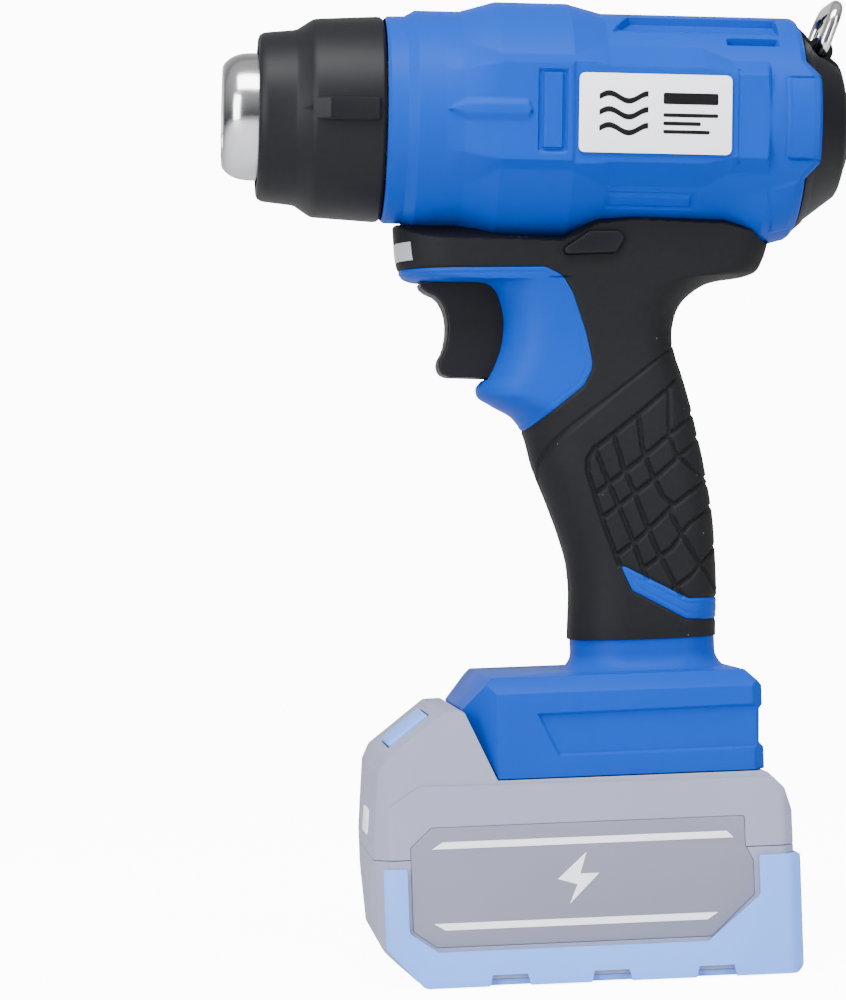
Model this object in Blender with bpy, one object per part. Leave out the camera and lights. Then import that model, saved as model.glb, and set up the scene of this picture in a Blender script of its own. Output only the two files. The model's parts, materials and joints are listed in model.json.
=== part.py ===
"""Cordless heat gun with its battery pack: housing, hot end, blower, grip, trigger and pack.

Metres, +Z up, nozzle towards -X, symmetric about Y = 0. The origin is on the floor under the
middle of the bounding box. Sizes below are in millimetres and are turned into metres where a
mesh is made. The barrel is tilted, so its pieces are built along their own axis, as (u, w):
u runs backwards along the barrel and w is the height above its axis.
"""

import math

import bpy
import bmesh
from mathutils import Matrix, Vector

MM = 0.001

# clearances
GAP = 0.3  # between pieces that touch
SLIDE_GAP = 0.4  # round a piece that moves

# battery pack
PACK_FRONT = -52.4
PACK_LENGTH = 112.6
PACK_WIDTH = 76.0
PACK_SHOULDER = 53.4  # height of the flat top that meets the foot
PACK_HUMP = 18.4  # how far the front hump rises above the shoulder
PACK_PARTING = 33.6  # height of the line between the case halves
PACK_WALL = 2.0
BUMPER_THICKNESS = 1.6
PANEL_DEPTH = 0.7  # recess of the side panels
RAIL_NECK = 21.5  # half width of the rail block's neck
RAIL_NECK_HEIGHT = 4.4
RAIL_HEAD = 28.5  # half width of its head
RAIL_HEAD_HEIGHT = 6.4
RAIL_REAR = 45.0
CELL_RADIUS = 9.1
CELL_LENGTH = 65.0
CELLS_IN_ROW = 5
BUTTON_TRAVEL = 2.5

# foot of the housing
FOOT_HEIGHT = 26.3
FOOT_WIDTH = 72.0
FOOT_REAR = 51.6
FOOT_CORNER = 5.0

# handle
GRIP_LENGTH = 63.9  # foot top to the lower end of the trigger zone
TRIGGER_ZONE = 54.4  # from there to the underside of the barrel
GRIP_HALF_WIDTH = 17.2
SKIN = 1.8  # soft grip thickness
WALL = 2.4  # housing wall

# barrel
BARREL_RADIUS = 30.0
BARREL_FRONT = -41.3
BARREL_REAR = 70.3
BARREL_BULGE = 2.5
BARREL_TILT = math.radians(2.8)  # nozzle up
NOZZLE_RADIUS = 17.15
NOZZLE_WALL = 0.8
NOZZLE_FRONT = -84.5
SHIELD_FRONT = -75.1
CAP_REAR = 83.4
MOTOR_RADIUS = 13.9
MOTOR_FRONT = 12.0
MOTOR_LENGTH = 34.0
SHAFT_RADIUS = 1.15
FAN_BLADES = 7
RING_WIRE = 1.8
PAD_LENGTH = 44.0  # flat pad under each label
PAD_HALF = 11.6
LABEL_LENGTH = 40.6
LABEL_HALF = 10.5

# controls
TRIGGER_HALF_WIDTH = 6.5
TRIGGER_TRAVEL = 6.0
LOCK_TRAVEL = 2.0
LOCK_HALF_LENGTH = GRIP_HALF_WIDTH + 0.4 + LOCK_TRAVEL

# screws
SCREW_SHANK = 1.6
SCREW_HEAD = 3.3
SCREW_HEAD_HEIGHT = 2.2
SCREW_SEAT = 7.0  # height of the seat above the parting plane
SCREW_LENGTH = 18.0
BOSS_WALL = 1.3

# heights that follow
FOOT_BOTTOM = PACK_SHOULDER + GAP
FOOT_TOP = FOOT_BOTTOM + FOOT_HEIGHT
ZONE_BOTTOM = FOOT_TOP + GRIP_LENGTH
SADDLE = ZONE_BOTTOM + TRIGGER_ZONE  # underside of the barrel
AXIS_HEIGHT = SADDLE + BARREL_RADIUS + 0.2
PACK_REAR = PACK_FRONT + PACK_LENGTH
HUMP_TOP = PACK_SHOULDER + PACK_HUMP
BORE_RADIUS = BARREL_RADIUS - 2.6  # inside of the barrel
TAIL_RADIUS = BARREL_RADIUS - 4.4  # narrower bore at its front end
MOUTH_SLOPE = (8.3, 18.1)  # run and rise of the slanted joint between hump and foot
FOOT_FRONT = -19.0
HEAD_TOP = PACK_SHOULDER + RAIL_NECK_HEIGHT + RAIL_HEAD_HEIGHT
BOSS_RADIUS = SCREW_HEAD + 0.6 + BOSS_WALL
CASE_HALF = PACK_WIDTH / 2 - BUMPER_THICKNESS + 0.2  # half width of the pack's case
CASE_REAR = PACK_REAR - BUMPER_THICKNESS
PAD_PLACE = BARREL_FRONT + 70.3  # middle of the label pads along the barrel
PAD_OUT = BARREL_RADIUS + 0.5  # how far the pads' flats stand from the barrel's middle

COLOURS = {
    "blue": ((0.0, 0.127, 0.716), 0.38, 0.0),
    "black": ((0.032, 0.034, 0.045), 0.55, 0.0),
    "rubber": ((0.023, 0.024, 0.028), 0.8, 0.0),
    "steel": ((0.62, 0.62, 0.64), 0.22, 1.0),
    "pale_grey": ((0.42, 0.43, 0.5), 0.45, 0.0),
    "pale_blue": ((0.39, 0.52, 0.84), 0.5, 0.0),
    "silver": ((0.78, 0.79, 0.84), 0.3, 0.2),
    "mica": ((0.66, 0.6, 0.45), 0.6, 0.0),
    "ceramic": ((0.8, 0.79, 0.74), 0.7, 0.0),
    "copper": ((0.72, 0.42, 0.25), 0.35, 1.0),
    "board": ((0.02, 0.16, 0.06), 0.5, 0.0),
    "clear": ((0.85, 0.88, 0.9), 0.15, 0.0),
    "cell": ((0.05, 0.32, 0.3), 0.35, 0.0),
    "red": ((0.6, 0.03, 0.02), 0.5, 0.0),
}


# ---------------------------------------------------------------- helpers


def clear_scene():
    for item in list(bpy.data.objects):
        bpy.data.objects.remove(item, do_unlink=True)


def material(name):
    made = bpy.data.materials.get(name)
    if made:
        return made
    colour, roughness, metallic = COLOURS[name]
    made = bpy.data.materials.new(name)
    made.use_nodes = True
    shader = made.node_tree.nodes["Principled BSDF"]
    shader.inputs["Base Color"].default_value = (*colour, 1.0)
    shader.inputs["Roughness"].default_value = roughness
    shader.inputs["Metallic"].default_value = metallic
    return made


def add_object(name, mesh, parent=None):
    item = bpy.data.objects.new(name, mesh)
    bpy.context.scene.collection.objects.link(item)
    item.parent = parent
    return item


def make(name, points, faces, parent=None):
    """A mesh object from points in millimetres, with its faces turned outwards."""
    mesh = bpy.data.meshes.new(name)
    shape = bmesh.new()
    made = [shape.verts.new(Vector(p) * MM) for p in points]
    for face in faces:
        shape.faces.new([made[i] for i in face])
    bmesh.ops.recalc_face_normals(shape, faces=shape.faces)
    shape.to_mesh(mesh)
    shape.free()
    return add_object(name, mesh, parent)


def angles(count):
    """Equally spaced angles, once round."""
    return [math.tau * k / count for k in range(count)]


def loft(name, rings, parent=None, closed=False):
    """A skin through rings of equally many points, capped at both ends or joined to a loop."""
    count = len(rings[0])
    points = [p for ring in rings for p in ring]
    spans = len(rings) if closed else len(rings) - 1
    faces = []
    for i in range(spans):
        low, high = i * count, (i + 1) % len(rings) * count
        for j in range(count):
            k = (j + 1) % count
            faces.append((low + j, low + k, high + k, high + j))
    if not closed:
        faces.append(tuple(range(count)))
        faces.append(tuple(range(len(points) - count, len(points))))
    return make(name, points, faces, parent)


def turned(name, profile, segments=32, parent=None, hollow=True):
    """A ring of the closed profile (u, radius) turned about the X axis.

    A solid one (hollow=False) has an open profile whose ends are closed by flat discs.
    """
    rings = []
    for u, radius in profile:
        rings.append([(u, radius * math.sin(a), radius * math.cos(a)) for a in angles(segments)])
    return loft(name, rings, parent, closed=hollow)


def prism(name, outline, low, high, parent=None):
    """The (x, z) outline extruded along Y."""
    rings = [[(x, y, z) for x, z in outline] for y in (low, high)]
    return loft(name, rings, parent)


def plate(name, outline, low, high, parent=None):
    """The (x, y) outline extruded along Z."""
    rings = [[(x, y, z) for x, y in outline] for z in (low, high)]
    return loft(name, rings, parent)


def box(name, low, high, parent=None):
    outline = [(low[0], low[2]), (high[0], low[2]), (high[0], high[2]), (low[0], high[2])]
    return prism(name, outline, low[1], high[1], parent)


def rod(name, start, end, radius, segments=10, parent=None):
    """A round bar between two points."""
    start, end = Vector(start), Vector(end)
    along = (end - start).normalized()
    side = along.orthogonal().normalized()
    other = along.cross(side)
    round_it = [radius * (math.cos(a) * side + math.sin(a) * other) for a in angles(segments)]
    return loft(name, [[start + r for r in round_it], [end + r for r in round_it]], parent)


def swept(name, path, radius, sides=8, parent=None, closed=False):
    """A round wire of one thickness along a path, kept from twisting by one fixed guide."""
    path = [Vector(p) for p in path]
    rings = []
    last = None
    for i, point in enumerate(path):
        before = path[i - 1] if i or closed else point
        after = path[(i + 1) % len(path)] if i + 1 < len(path) or closed else point
        along = (after - before).normalized()
        side = last if last else along.orthogonal()
        side = (side - along * side.dot(along)).normalized()
        last = side
        other = along.cross(side)
        circle = [math.cos(a) * side + math.sin(a) * other for a in angles(sides)]
        rings.append([point + radius * out for out in circle])
    return loft(name, rings, parent, closed)


def smooth_path(points, steps=3):
    """A curve through the points, a few steps from each to the next."""
    points = [Vector(p) for p in points]
    ends = [2 * points[0] - points[1]] + points + [2 * points[-1] - points[-2]]
    found = []
    for a, b, c, d in zip(ends, ends[1:], ends[2:], ends[3:]):
        for k in range(steps):
            t = k / steps
            curve = 2 * b + (c - a) * t + (2 * a - 5 * b + 4 * c - d) * t * t
            found.append((curve + (3 * b - a - 3 * c + d) * t**3) / 2)
    return found + [points[-1]]


def combine(target, tool, operation):
    """Cuts, joins or crosses the target with the tool, which is used up."""
    bpy.context.view_layer.update()
    step = target.modifiers.new(operation, "BOOLEAN")
    step.object = tool
    step.operation = operation
    step.solver = "EXACT"
    graph = bpy.context.evaluated_depsgraph_get()
    result = bpy.data.meshes.new_from_object(target.evaluated_get(graph))
    target.modifiers.clear()
    target.data = result
    bpy.data.objects.remove(tool, do_unlink=True)
    return target


def cut(target, tool):
    return combine(target, tool, "DIFFERENCE")


def join(target, tool):
    return combine(target, tool, "UNION")


def cross(target, tool):
    return combine(target, tool, "INTERSECT")


def copy_of(item, name):
    other = add_object(name, item.data.copy(), item.parent)
    other.matrix_local = item.matrix_local.copy()
    return other


def split_halves(item, name):
    """The two halves of a piece, parted at Y = 0 with the usual gap."""
    far = 400
    left, right = copy_of(item, name + "_left"), item
    right.name = name + "_right"
    left = cut(left, box("half", (-far, -GAP / 2, -far), (far, far, far)))
    right = cut(right, box("half", (-far, -far, -far), (far, GAP / 2, far)))
    return left, right


def finish(item, colour, angle=30):
    """Gives the piece its one material and shades it smooth except at its sharp edges."""
    item.data.materials.clear()
    item.data.materials.append(material(colour))
    for face in item.data.polygons:
        face.material_index = 0
    item.data.shade_smooth()
    item.data.set_sharp_from_angle(angle=math.radians(angle))
    return item


def move_origin(item, place):
    """Puts the object's own origin at a point, in millimetres, and leaves its shape where it is."""
    shift = Vector(place) * MM
    item.data.transform(Matrix.Translation(-shift))
    item.location = shift


def grown(outline, distance):
    """The outline with each side moved outwards, for a counter-clockwise (x, z) outline."""
    found = []
    for i, here in enumerate(outline):
        before, after = Vector(outline[i - 1]), Vector(outline[(i + 1) % len(outline)])
        here = Vector(here)
        a, b = (here - before).normalized(), (after - here).normalized()
        normals = Vector((a.y, -a.x)), Vector((b.y, -b.x))
        middle = (normals[0] + normals[1]).normalized()
        found.append(tuple(here + middle * distance / max(0.5, middle.dot(normals[0]))))
    return found


def reach(points, height):
    """The value at a height on the line through (height, value) points."""
    for (low, a), (high, b) in zip(points, points[1:]):
        if height <= high:
            return a + (b - a) * max(0.0, height - low) / (high - low)
    return points[-1][1]


# ---------------------------------------------------------------- shapes that pieces share


def barrel_frame():
    """The empty that carries the barrel's pieces, tilted nozzle up."""
    empty = bpy.data.objects.new("barrel_axis", None)
    bpy.context.scene.collection.objects.link(empty)
    empty.location = (0, 0, AXIS_HEIGHT * MM)
    empty.rotation_euler = (0, BARREL_TILT, 0)
    return empty


def from_barrel(u, w, y=0.0):
    """A point given along the barrel, in the object's own frame."""
    cos, sin = math.cos(BARREL_TILT), math.sin(BARREL_TILT)
    return (u * cos + w * sin, y, AXIS_HEIGHT - u * sin + w * cos)


def barrel_profile(extra=0.0):
    """The barrel's outside as (u, radius), front to rear, grown by extra."""
    front, rear, radius = BARREL_FRONT, BARREL_REAR, BARREL_RADIUS
    bulge = radius + BARREL_BULGE
    points = [(front, radius - 2.8), (front + 0.8, radius - 2.1), (front + 5.3, radius - 2.0)]
    points += [(front + 8.1, radius - 0.4), (front + 20.1, radius - 0.4)]
    points += [(front + 29.6, bulge), (front + 49.1, bulge), (front + 58.4, radius)]
    points += [(rear - 1.5, radius), (rear, radius - 1.6)]
    return [(u, r + extra) for u, r in points]


def bore_profile():
    front, rear = BARREL_FRONT, BARREL_REAR
    points = [(front - 2, TAIL_RADIUS), (front + 6, TAIL_RADIUS)]
    return points + [(front + 6.6, BORE_RADIUS), (rear + 2, BORE_RADIUS)]


def handle_levels():
    """Heights of the handle's sections, from inside the foot to inside the barrel."""
    shares = (0.13, 0.34, 0.56, 0.8, 1.0)
    below = (-47.8, -43.6, -41.8, -38.5, -34.6, -29.2, -23.2, -17.0, -13.6, -12.2, -10.4, -4.4, 6.0)
    return [FOOT_TOP + share * GRIP_LENGTH for share in shares] + [SADDLE + b for b in below]


def on_grip(points):
    """(height, x) from (share of the grip's length above the foot, x)."""
    return [(FOOT_TOP + share * GRIP_LENGTH, x) for share, x in points]


def on_zone(points):
    """(height, x) from (height above the barrel's underside, x)."""
    return [(SADDLE + above, x) for above, x in points]


def handle_edges():
    """(height, x) along the handle's front and its rear."""
    front = on_grip([(0.0, 4.6), (0.34, 5.3), (0.44, 4.9), (0.56, 3.1), (0.70, 0.2), (0.87, -3.7)])
    front += on_grip([(1.0, -5.7)])
    front += on_zone([(-47.8, -9.9), (-43.6, -17.2), (-41.8, -18.3), (-38.5, -16.1), (-34.6, -14.1)])
    front += on_zone([(-29.2, -12.3)])
    front += on_zone([(-23.2, -11.6), (-16.5, -12.8), (-13.2, -15.9), (-12.2, -34.0), (-10.4, -37.4)])
    front += [(SADDLE - 4.4, BARREL_FRONT + 2.3), (SADDLE + 8, BARREL_FRONT + 2.0)]
    rear = on_grip([(0.0, 44.2), (0.34, 45.1), (0.56, 44.9), (0.87, 42.6), (1.0, 41.0)])
    rear += on_zone([(-47.8, 39.7), (-38.5, 37.4), (-34.6, 36.2), (-29.2, 35.3), (-23.2, 36.4)])
    lobe = BARREL_REAR - 8.1
    rear += on_zone([(-19.8, 38.3), (-17.0, 41.5), (-14.0, lobe - 15), (-12.8, lobe - 4.5)])
    rear += on_zone([(-9.5, lobe - 1.8), (-4.4, lobe)])
    rear += [(SADDLE + 8, lobe + 2.5)]
    return front, rear


def handle_half_width(height):
    half = GRIP_HALF_WIDTH
    points = [(FOOT_TOP, half), (ZONE_BOTTOM, half)]
    points += [(SADDLE - 30, half - 0.9), (SADDLE - 8, half + 0.3)]
    return reach(points + [(SADDLE + 6, half + 0.8)], height)


def rounded_ring(front, rear, half, corner, height, steps=3):
    """A level rectangle with round corners, as points in order."""
    corner = min(corner, half - 0.3, (rear - front) / 2 - 0.3)
    points = []
    for cx, cy, start in (
        (rear - corner, half - corner, 0),
        (front + corner, half - corner, 1),
        (front + corner, corner - half, 2),
        (rear - corner, corner - half, 3),
    ):
        for k in range(steps + 1):
            a = math.pi / 2 * (start + k / steps)
            points.append((cx + corner * math.cos(a), cy + corner * math.sin(a), height))
    return points


def handle_solid(name, inset, low, high):
    """The handle's outside moved in by inset, between two heights."""
    front, rear = handle_edges()
    levels = [low] + [z for z in handle_levels() if low + 0.5 < z < high - 0.5] + [high]
    rings = []
    for z in levels:
        half = handle_half_width(z) - inset
        ring = rounded_ring(reach(front, z) + inset, reach(rear, z) - inset, half, 14.5 - inset, z)
        rings.append(ring)
    return loft(name, rings)


def saddle_line():
    """The edge where the soft grip ends under the barrel, front to rear, as (x, z)."""
    shape = [(3.0, 3.2), (17.0, 3.4), (19.5, 3.0), (28.0, -0.4), (46.5, -2.0), (56.0, 3.4)]
    points = [(BARREL_FRONT + along, SADDLE + up) for along, up in shape]
    points = [(BARREL_FRONT - 3, SADDLE + 3.0)] + points
    tail = [(-21.3, 1.7), (-15.8, 0.1), (-12.0, -3.6), (-10.0, -5.4), (-4.0, -2.5)]
    return points + [(BARREL_REAR + along, SADDLE + up) for along, up in tail]


def surround_outline():
    """The hard panel round the trigger, counter-clockwise, open past the handle's front."""
    shape = [(-60, -49.0), (-6.0, -53.2), (9.3, -41.8), (11.5, -37.8), (11.9, -35.5), (10.4, -27.4)]
    shape += [(7.2, -16.9), (4.6, -12.2), (0.1, -9.7), (-60, -8.4)]
    return [(x, SADDLE + below) for x, below in shape]


def accent_outline():
    """The hard stripe low on the grip's rear, counter-clockwise, open past the rear."""
    stripe = [(20.3, 0.333), (34.6, 0.208), (41.2, 0.2), (60, 0.2), (60, 0.285), (35.4, 0.294)]
    stripe += [(17.1, 0.449)]
    return [(x, FOOT_TOP + share * GRIP_LENGTH) for x, share in stripe]


def screw_places():
    """Name and place (x, z) of every housing screw."""
    high = BORE_RADIUS - 4.6
    places = {}
    for label, u, w in (
        ("front_top", BARREL_FRONT + 11.3, high),
        ("front_bottom", BARREL_FRONT + 11.3, -high),
        ("rear_top", BARREL_REAR - 13.3, high),
        ("rear_bottom", BARREL_REAR - 13.3, -high),
    ):
        x, _, z = from_barrel(u, w)
        places["barrel_" + label] = (x, z)
    places["grip_top"] = (30.0, SADDLE - 45.4)
    places["grip_bottom"] = (30.0, FOOT_TOP + 0.23 * GRIP_LENGTH)
    places["foot_front"] = (FOOT_FRONT + 3.4, FOOT_TOP - 7.2)
    places["foot_rear"] = (FOOT_REAR - 7.4, FOOT_TOP - 7.2)
    return places


def foot_outline():
    """The foot's side view, counter-clockwise."""
    tip = (FOOT_FRONT - MOUTH_SLOPE[0], FOOT_BOTTOM + MOUTH_SLOPE[1])
    rear, top = FOOT_REAR, FOOT_TOP
    points = [(FOOT_FRONT, FOOT_BOTTOM), (rear, FOOT_BOTTOM), (rear, FOOT_BOTTOM + 5.8)]
    points += [(rear - 1.4, FOOT_BOTTOM + 7.1), (rear - 1.0, FOOT_BOTTOM + 15.9)]
    points += [(rear, FOOT_BOTTOM + 16.8)]
    points += [(rear, top - 4.2), (rear - 4.6, top), (tip[0] + 7.8, top), tip]
    return points


def trigger_window():
    """The slot in the housing that the trigger moves in: lowest and highest corner."""
    side = TRIGGER_HALF_WIDTH + SLIDE_GAP
    return (-60.0, -side, SADDLE - 39.2), (-5.0, side, SADDLE - 12.0)


# ---------------------------------------------------------------- housing and grip


def lock_box(name, extra=0.0):
    """The lozenge of the lock button, through the handle from side to side."""
    outline = [(5.0, -6.7), (18.8, -6.7), (21.4, -2.6), (20.0, -0.7), (12.0, -0.5), (5.0, -4.9)]
    outline = grown([(x, SADDLE + z) for x, z in outline], extra)
    return prism(name, outline, -LOCK_HALF_LENGTH, LOCK_HALF_LENGTH)


def led_box(name, extra=0.0):
    """The band that the lamp's window takes, wrapped around the nose of the saddle."""
    front = BARREL_FRONT + 1.9
    low = (front - extra * 3, -12.5 - extra, SADDLE - 6.6 - extra)
    high = (front + 5.0 + extra, 12.5 + extra, SADDLE - 1.8 + extra)
    return box(name, low, high)


def label_pads(name, axis):
    """The flat pads for the labels: one block through the barrel, chamfered along its edges."""
    upper = [(PAD_OUT, PAD_HALF), (PAD_OUT - 2.6, PAD_HALF + 3.0)]
    upper += [(-y, w) for y, w in upper[::-1]]
    section = upper + [(y, -w) for y, w in upper[::-1]]
    rings = [[(PAD_PLACE + u, y, w) for y, w in section] for u in (-PAD_LENGTH / 2, PAD_LENGTH / 2)]
    return loft(name, rings, axis)


def housing_outside(axis):
    barrel = turned("housing", barrel_profile(), parent=axis, hollow=False)
    barrel = join(barrel, label_pads("pads", axis))
    for side in (-1, 1):
        low, high = sorted((side * PAD_OUT, side * 60))
        near, far = PAD_PLACE - PAD_LENGTH / 2, PAD_PLACE + PAD_LENGTH / 2
        above = box("above_pad", (near, low, -PAD_HALF), (far, high, PAD_HALF), axis)
        barrel = cut(barrel, above)
    item = join(barrel, handle_solid("core", SKIN, FOOT_TOP - 4, SADDLE + 6))
    lands = handle_solid("lands", 0.0, FOOT_TOP + 4, SADDLE - 2)
    windows = prism("window", grown(surround_outline(), -GAP), -40, 40)
    windows = join(windows, prism("stripe", grown(accent_outline(), -GAP), -40, 40))
    item = join(item, cross(lands, windows))
    neck_top = FOOT_TOP + 0.125 * GRIP_LENGTH
    rings = []
    flare = ((neck_top, 0.0), (FOOT_TOP + 3.5, 0.8), (FOOT_TOP + 1.2, 3.0), (FOOT_TOP - 1, 7.0))
    for height, spread in flare:
        half = GRIP_HALF_WIDTH + spread
        rings.append(rounded_ring(4.9 - spread, 44.4 + spread, half, 14.5, height))
    item = join(item, loft("neck", rings[::-1]))
    foot = prism("foot", foot_outline(), -FOOT_WIDTH / 2, FOOT_WIDTH / 2)
    half, corner = FOOT_WIDTH / 2, FOOT_CORNER
    front, rear = FOOT_FRONT - MOUTH_SLOPE[0] - 1, FOOT_REAR + 1
    plan = [(front, corner * 2 - half), (front + corner * 2, -half)]
    plan += [(rear - corner, -half), (rear, corner - half)]
    plan += [(x, -y) for x, y in plan[::-1]]
    return join(item, cross(foot, plate("plan", plan, FOOT_BOTTOM - 5, FOOT_TOP + 5)))


def housing_inside(axis):
    """The hollow of the housing, with the screw bosses left standing in it."""
    hollow = turned("hollow", bore_profile(), segments=32, parent=axis, hollow=False)
    hollow = join(hollow, handle_solid("grip_hollow", SKIN + WALL, FOOT_TOP - 6, SADDLE + 6))
    half = FOOT_WIDTH / 2 - WALL
    outline = [(FOOT_FRONT + 0.6, HEAD_TOP - 4.0), (FOOT_REAR - 4, HEAD_TOP - 4.0)]
    outline += [(FOOT_REAR - 4, FOOT_TOP - 5)]
    outline += [(FOOT_REAR - 6, FOOT_TOP - WALL), (FOOT_FRONT, FOOT_TOP - WALL)]
    outline += [(FOOT_FRONT - 4, FOOT_TOP - 8)]
    hollow = join(hollow, prism("foot_hollow", outline, -half, half))
    for x, z in screw_places().values():
        hollow = cut(hollow, rod("boss", (x, -50, z), (x, 50, z), BOSS_RADIUS))
    return hollow


def rail_channel(name):
    """The channel that the pack's rail block slides in, open to the front and below."""
    neck = RAIL_NECK + SLIDE_GAP
    head = RAIL_HEAD + SLIDE_GAP
    rear = RAIL_REAR + SLIDE_GAP
    low = PACK_SHOULDER + RAIL_NECK_HEIGHT - SLIDE_GAP
    channel = box(name, (-60, -neck, FOOT_BOTTOM - 5), (rear, neck, low + 1))
    channel = join(channel, box("head", (-60, -head, low), (rear, head, HEAD_TOP + SLIDE_GAP)))
    return join(channel, box("hook_way", (-60, -9, HEAD_TOP), (0, 9, HEAD_TOP + 3.4)))


def build_housing(axis):
    """The two hard halves, with bosses, screw holes and the openings for what passes through."""
    shell = cut(housing_outside(axis), housing_inside(axis))
    shell = cut(shell, rail_channel("channel"))
    low, high = trigger_window()
    shell = cut(shell, box("slot", low, high))
    shell = cut(shell, lock_box("lock_way", SLIDE_GAP))
    shell = cut(shell, led_box("led_way", GAP))
    left, right = split_halves(shell, "housing")
    for x, z in screw_places().values():
        pilot = SCREW_SHANK + GAP
        left = cut(left, rod("pilot", (x, -SCREW_LENGTH + SCREW_SEAT - 2, z), (x, 2, z), pilot))
        right = cut(right, rod("clear", (x, -2, z), (x, SCREW_SEAT + 5, z), pilot))
        right = cut(right, rod("sink", (x, SCREW_SEAT, z), (x, 60, z), SCREW_HEAD + GAP))
    for item in (left, right):
        finish(item, "blue")


def build_grip(axis):
    """The soft grip: a skin over the handle and the underside of the barrel, in two halves."""
    low = FOOT_TOP + 0.125 * GRIP_LENGTH + GAP
    skin = handle_solid("skin", 0.0, low, SADDLE + 6)
    front, rear = BARREL_FRONT + 1.5, BARREL_REAR - 8.4
    saddle = [(u, r) for u, r in barrel_profile(1.6) if front < u < rear]
    saddle = [(front, saddle[0][1])] + saddle + [(rear, saddle[-1][1])]
    skin = join(skin, turned("saddle", saddle, parent=axis, hollow=False))
    line = saddle_line()
    outline = [(-100, 0), (100, 0), (100, line[-1][1])] + line[::-1] + [(-100, line[0][1])]
    skin = cross(skin, prism("below", outline, -60, 60))
    skin = cut(skin, handle_solid("core", SKIN - GAP, low - 5, SADDLE + 16))
    skin = cut(skin, turned("barrel", barrel_profile(GAP), parent=axis, hollow=False))
    for outline in (surround_outline(), accent_outline()):
        skin = cut(skin, prism("window", outline, -40, 40))
    trigger_low, trigger_high = trigger_window()
    skin = cut(skin, box("slot", trigger_low, trigger_high))
    skin = cut(skin, lock_box("lock_way", SLIDE_GAP))
    skin = cut(skin, led_box("led_way", GAP))
    left, right = split_halves(skin, "grip")
    places = screw_places()
    for label in ("grip_top", "grip_bottom", "barrel_front_bottom", "barrel_rear_bottom"):
        x, z = places[label]
        right = cut(right, rod("sink", (x, 0, z), (x, 60, z), SCREW_HEAD + GAP))
    for item in (left, right):
        finish(item, "rubber")


def build_screws():
    for label, (x, z) in screw_places().items():
        seat, radius = SCREW_SEAT + GAP, SCREW_SHANK
        head = seat + SCREW_HEAD_HEIGHT
        profile = [(seat + radius - SCREW_LENGTH, 0.4), (seat + 2 * radius - SCREW_LENGTH, radius)]
        profile += [(seat, radius), (seat, SCREW_HEAD), (head - 0.6, SCREW_HEAD), (head, SCREW_HEAD - 0.9)]
        rings = []
        for y, r in profile:
            rings.append([(x + r * math.cos(a), y, z + r * math.sin(a)) for a in angles(8)])
        screw = loft("screw_" + label, rings)
        screw = cut(screw, rod("socket", (x, head - 1.4, z), (x, head + 2, z), 1.3, segments=6))
        finish(screw, "steel")


# ---------------------------------------------------------------- hot end


def build_heat_shield(axis):
    front, edge = SHIELD_FRONT, BARREL_FRONT - GAP
    outer, tail = BARREL_RADIUS - 2.3, TAIL_RADIUS - GAP
    mouth = NOZZLE_RADIUS + 1.9
    outside = [(front, outer - 6.6), (front + 0.5, outer - 5.4), (front + 1.8, outer - 4.8)]
    outside += [(front + 9.8, outer - 4.1), (front + 14.6, outer - 1.0), (edge - 1.6, outer)]
    outside += [(edge, outer - 1.4), (edge, tail), (BARREL_FRONT + 5.2, tail)]
    inside = [(BARREL_FRONT + 5.2, tail - 2.2), (front + 16, tail - 2.2), (front + 11, mouth + 2.4)]
    inside += [(front + 2.6, mouth + 1.4), (front + 2.6, mouth), (front, mouth)]
    shield = turned("heat_shield", outside + inside, parent=axis)
    for side in (-1, 1):
        rings = []
        tip, shoulder, root = front + 13.0, front + 18.5, edge - 1.6
        for u, size, out in ((tip, 0.3, outer - 2.2), (shoulder, 2.9, outer), (root, 3.0, outer)):
            section = [(out - 0.6, size), (out + 1.3, 0.0), (out - 0.6, -size), (tail - 1.4, 0.0)]
            rings.append([(u, side * y, w) for y, w in section])
        shield = join(shield, loft("rib", rings, axis))
    finish(shield, "black")


def nozzle_flange():
    """Where the nozzle tube's rear flange stands, (front, rear)."""
    return BARREL_FRONT + 1.3, BARREL_FRONT + 2.5


def build_nozzle(axis):
    front, r, wall = NOZZLE_FRONT, NOZZLE_RADIUS, NOZZLE_WALL
    flange, rear = nozzle_flange()
    rim = TAIL_RADIUS - GAP - 2.2 - GAP
    curl = [(front, r - 3.9), (front + 0.5, r - 2.6), (front + 2.2, r - 1.2), (front + 4.6, r - 0.4)]
    outside = curl + [(front + 7.5, r), (flange, r), (flange, rim), (rear, rim)]
    inside = [(rear, r - wall), (front + 7.5, r - wall), (front + 4.6, r - wall - 0.4)]
    inside += [(front + 2.5, r - wall - 1.2), (front + 1.2, r - wall - 2.5), (front + 0.9, r - wall - 3.5)]
    finish(turned("nozzle_tube", outside + inside, parent=axis), "steel")


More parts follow.
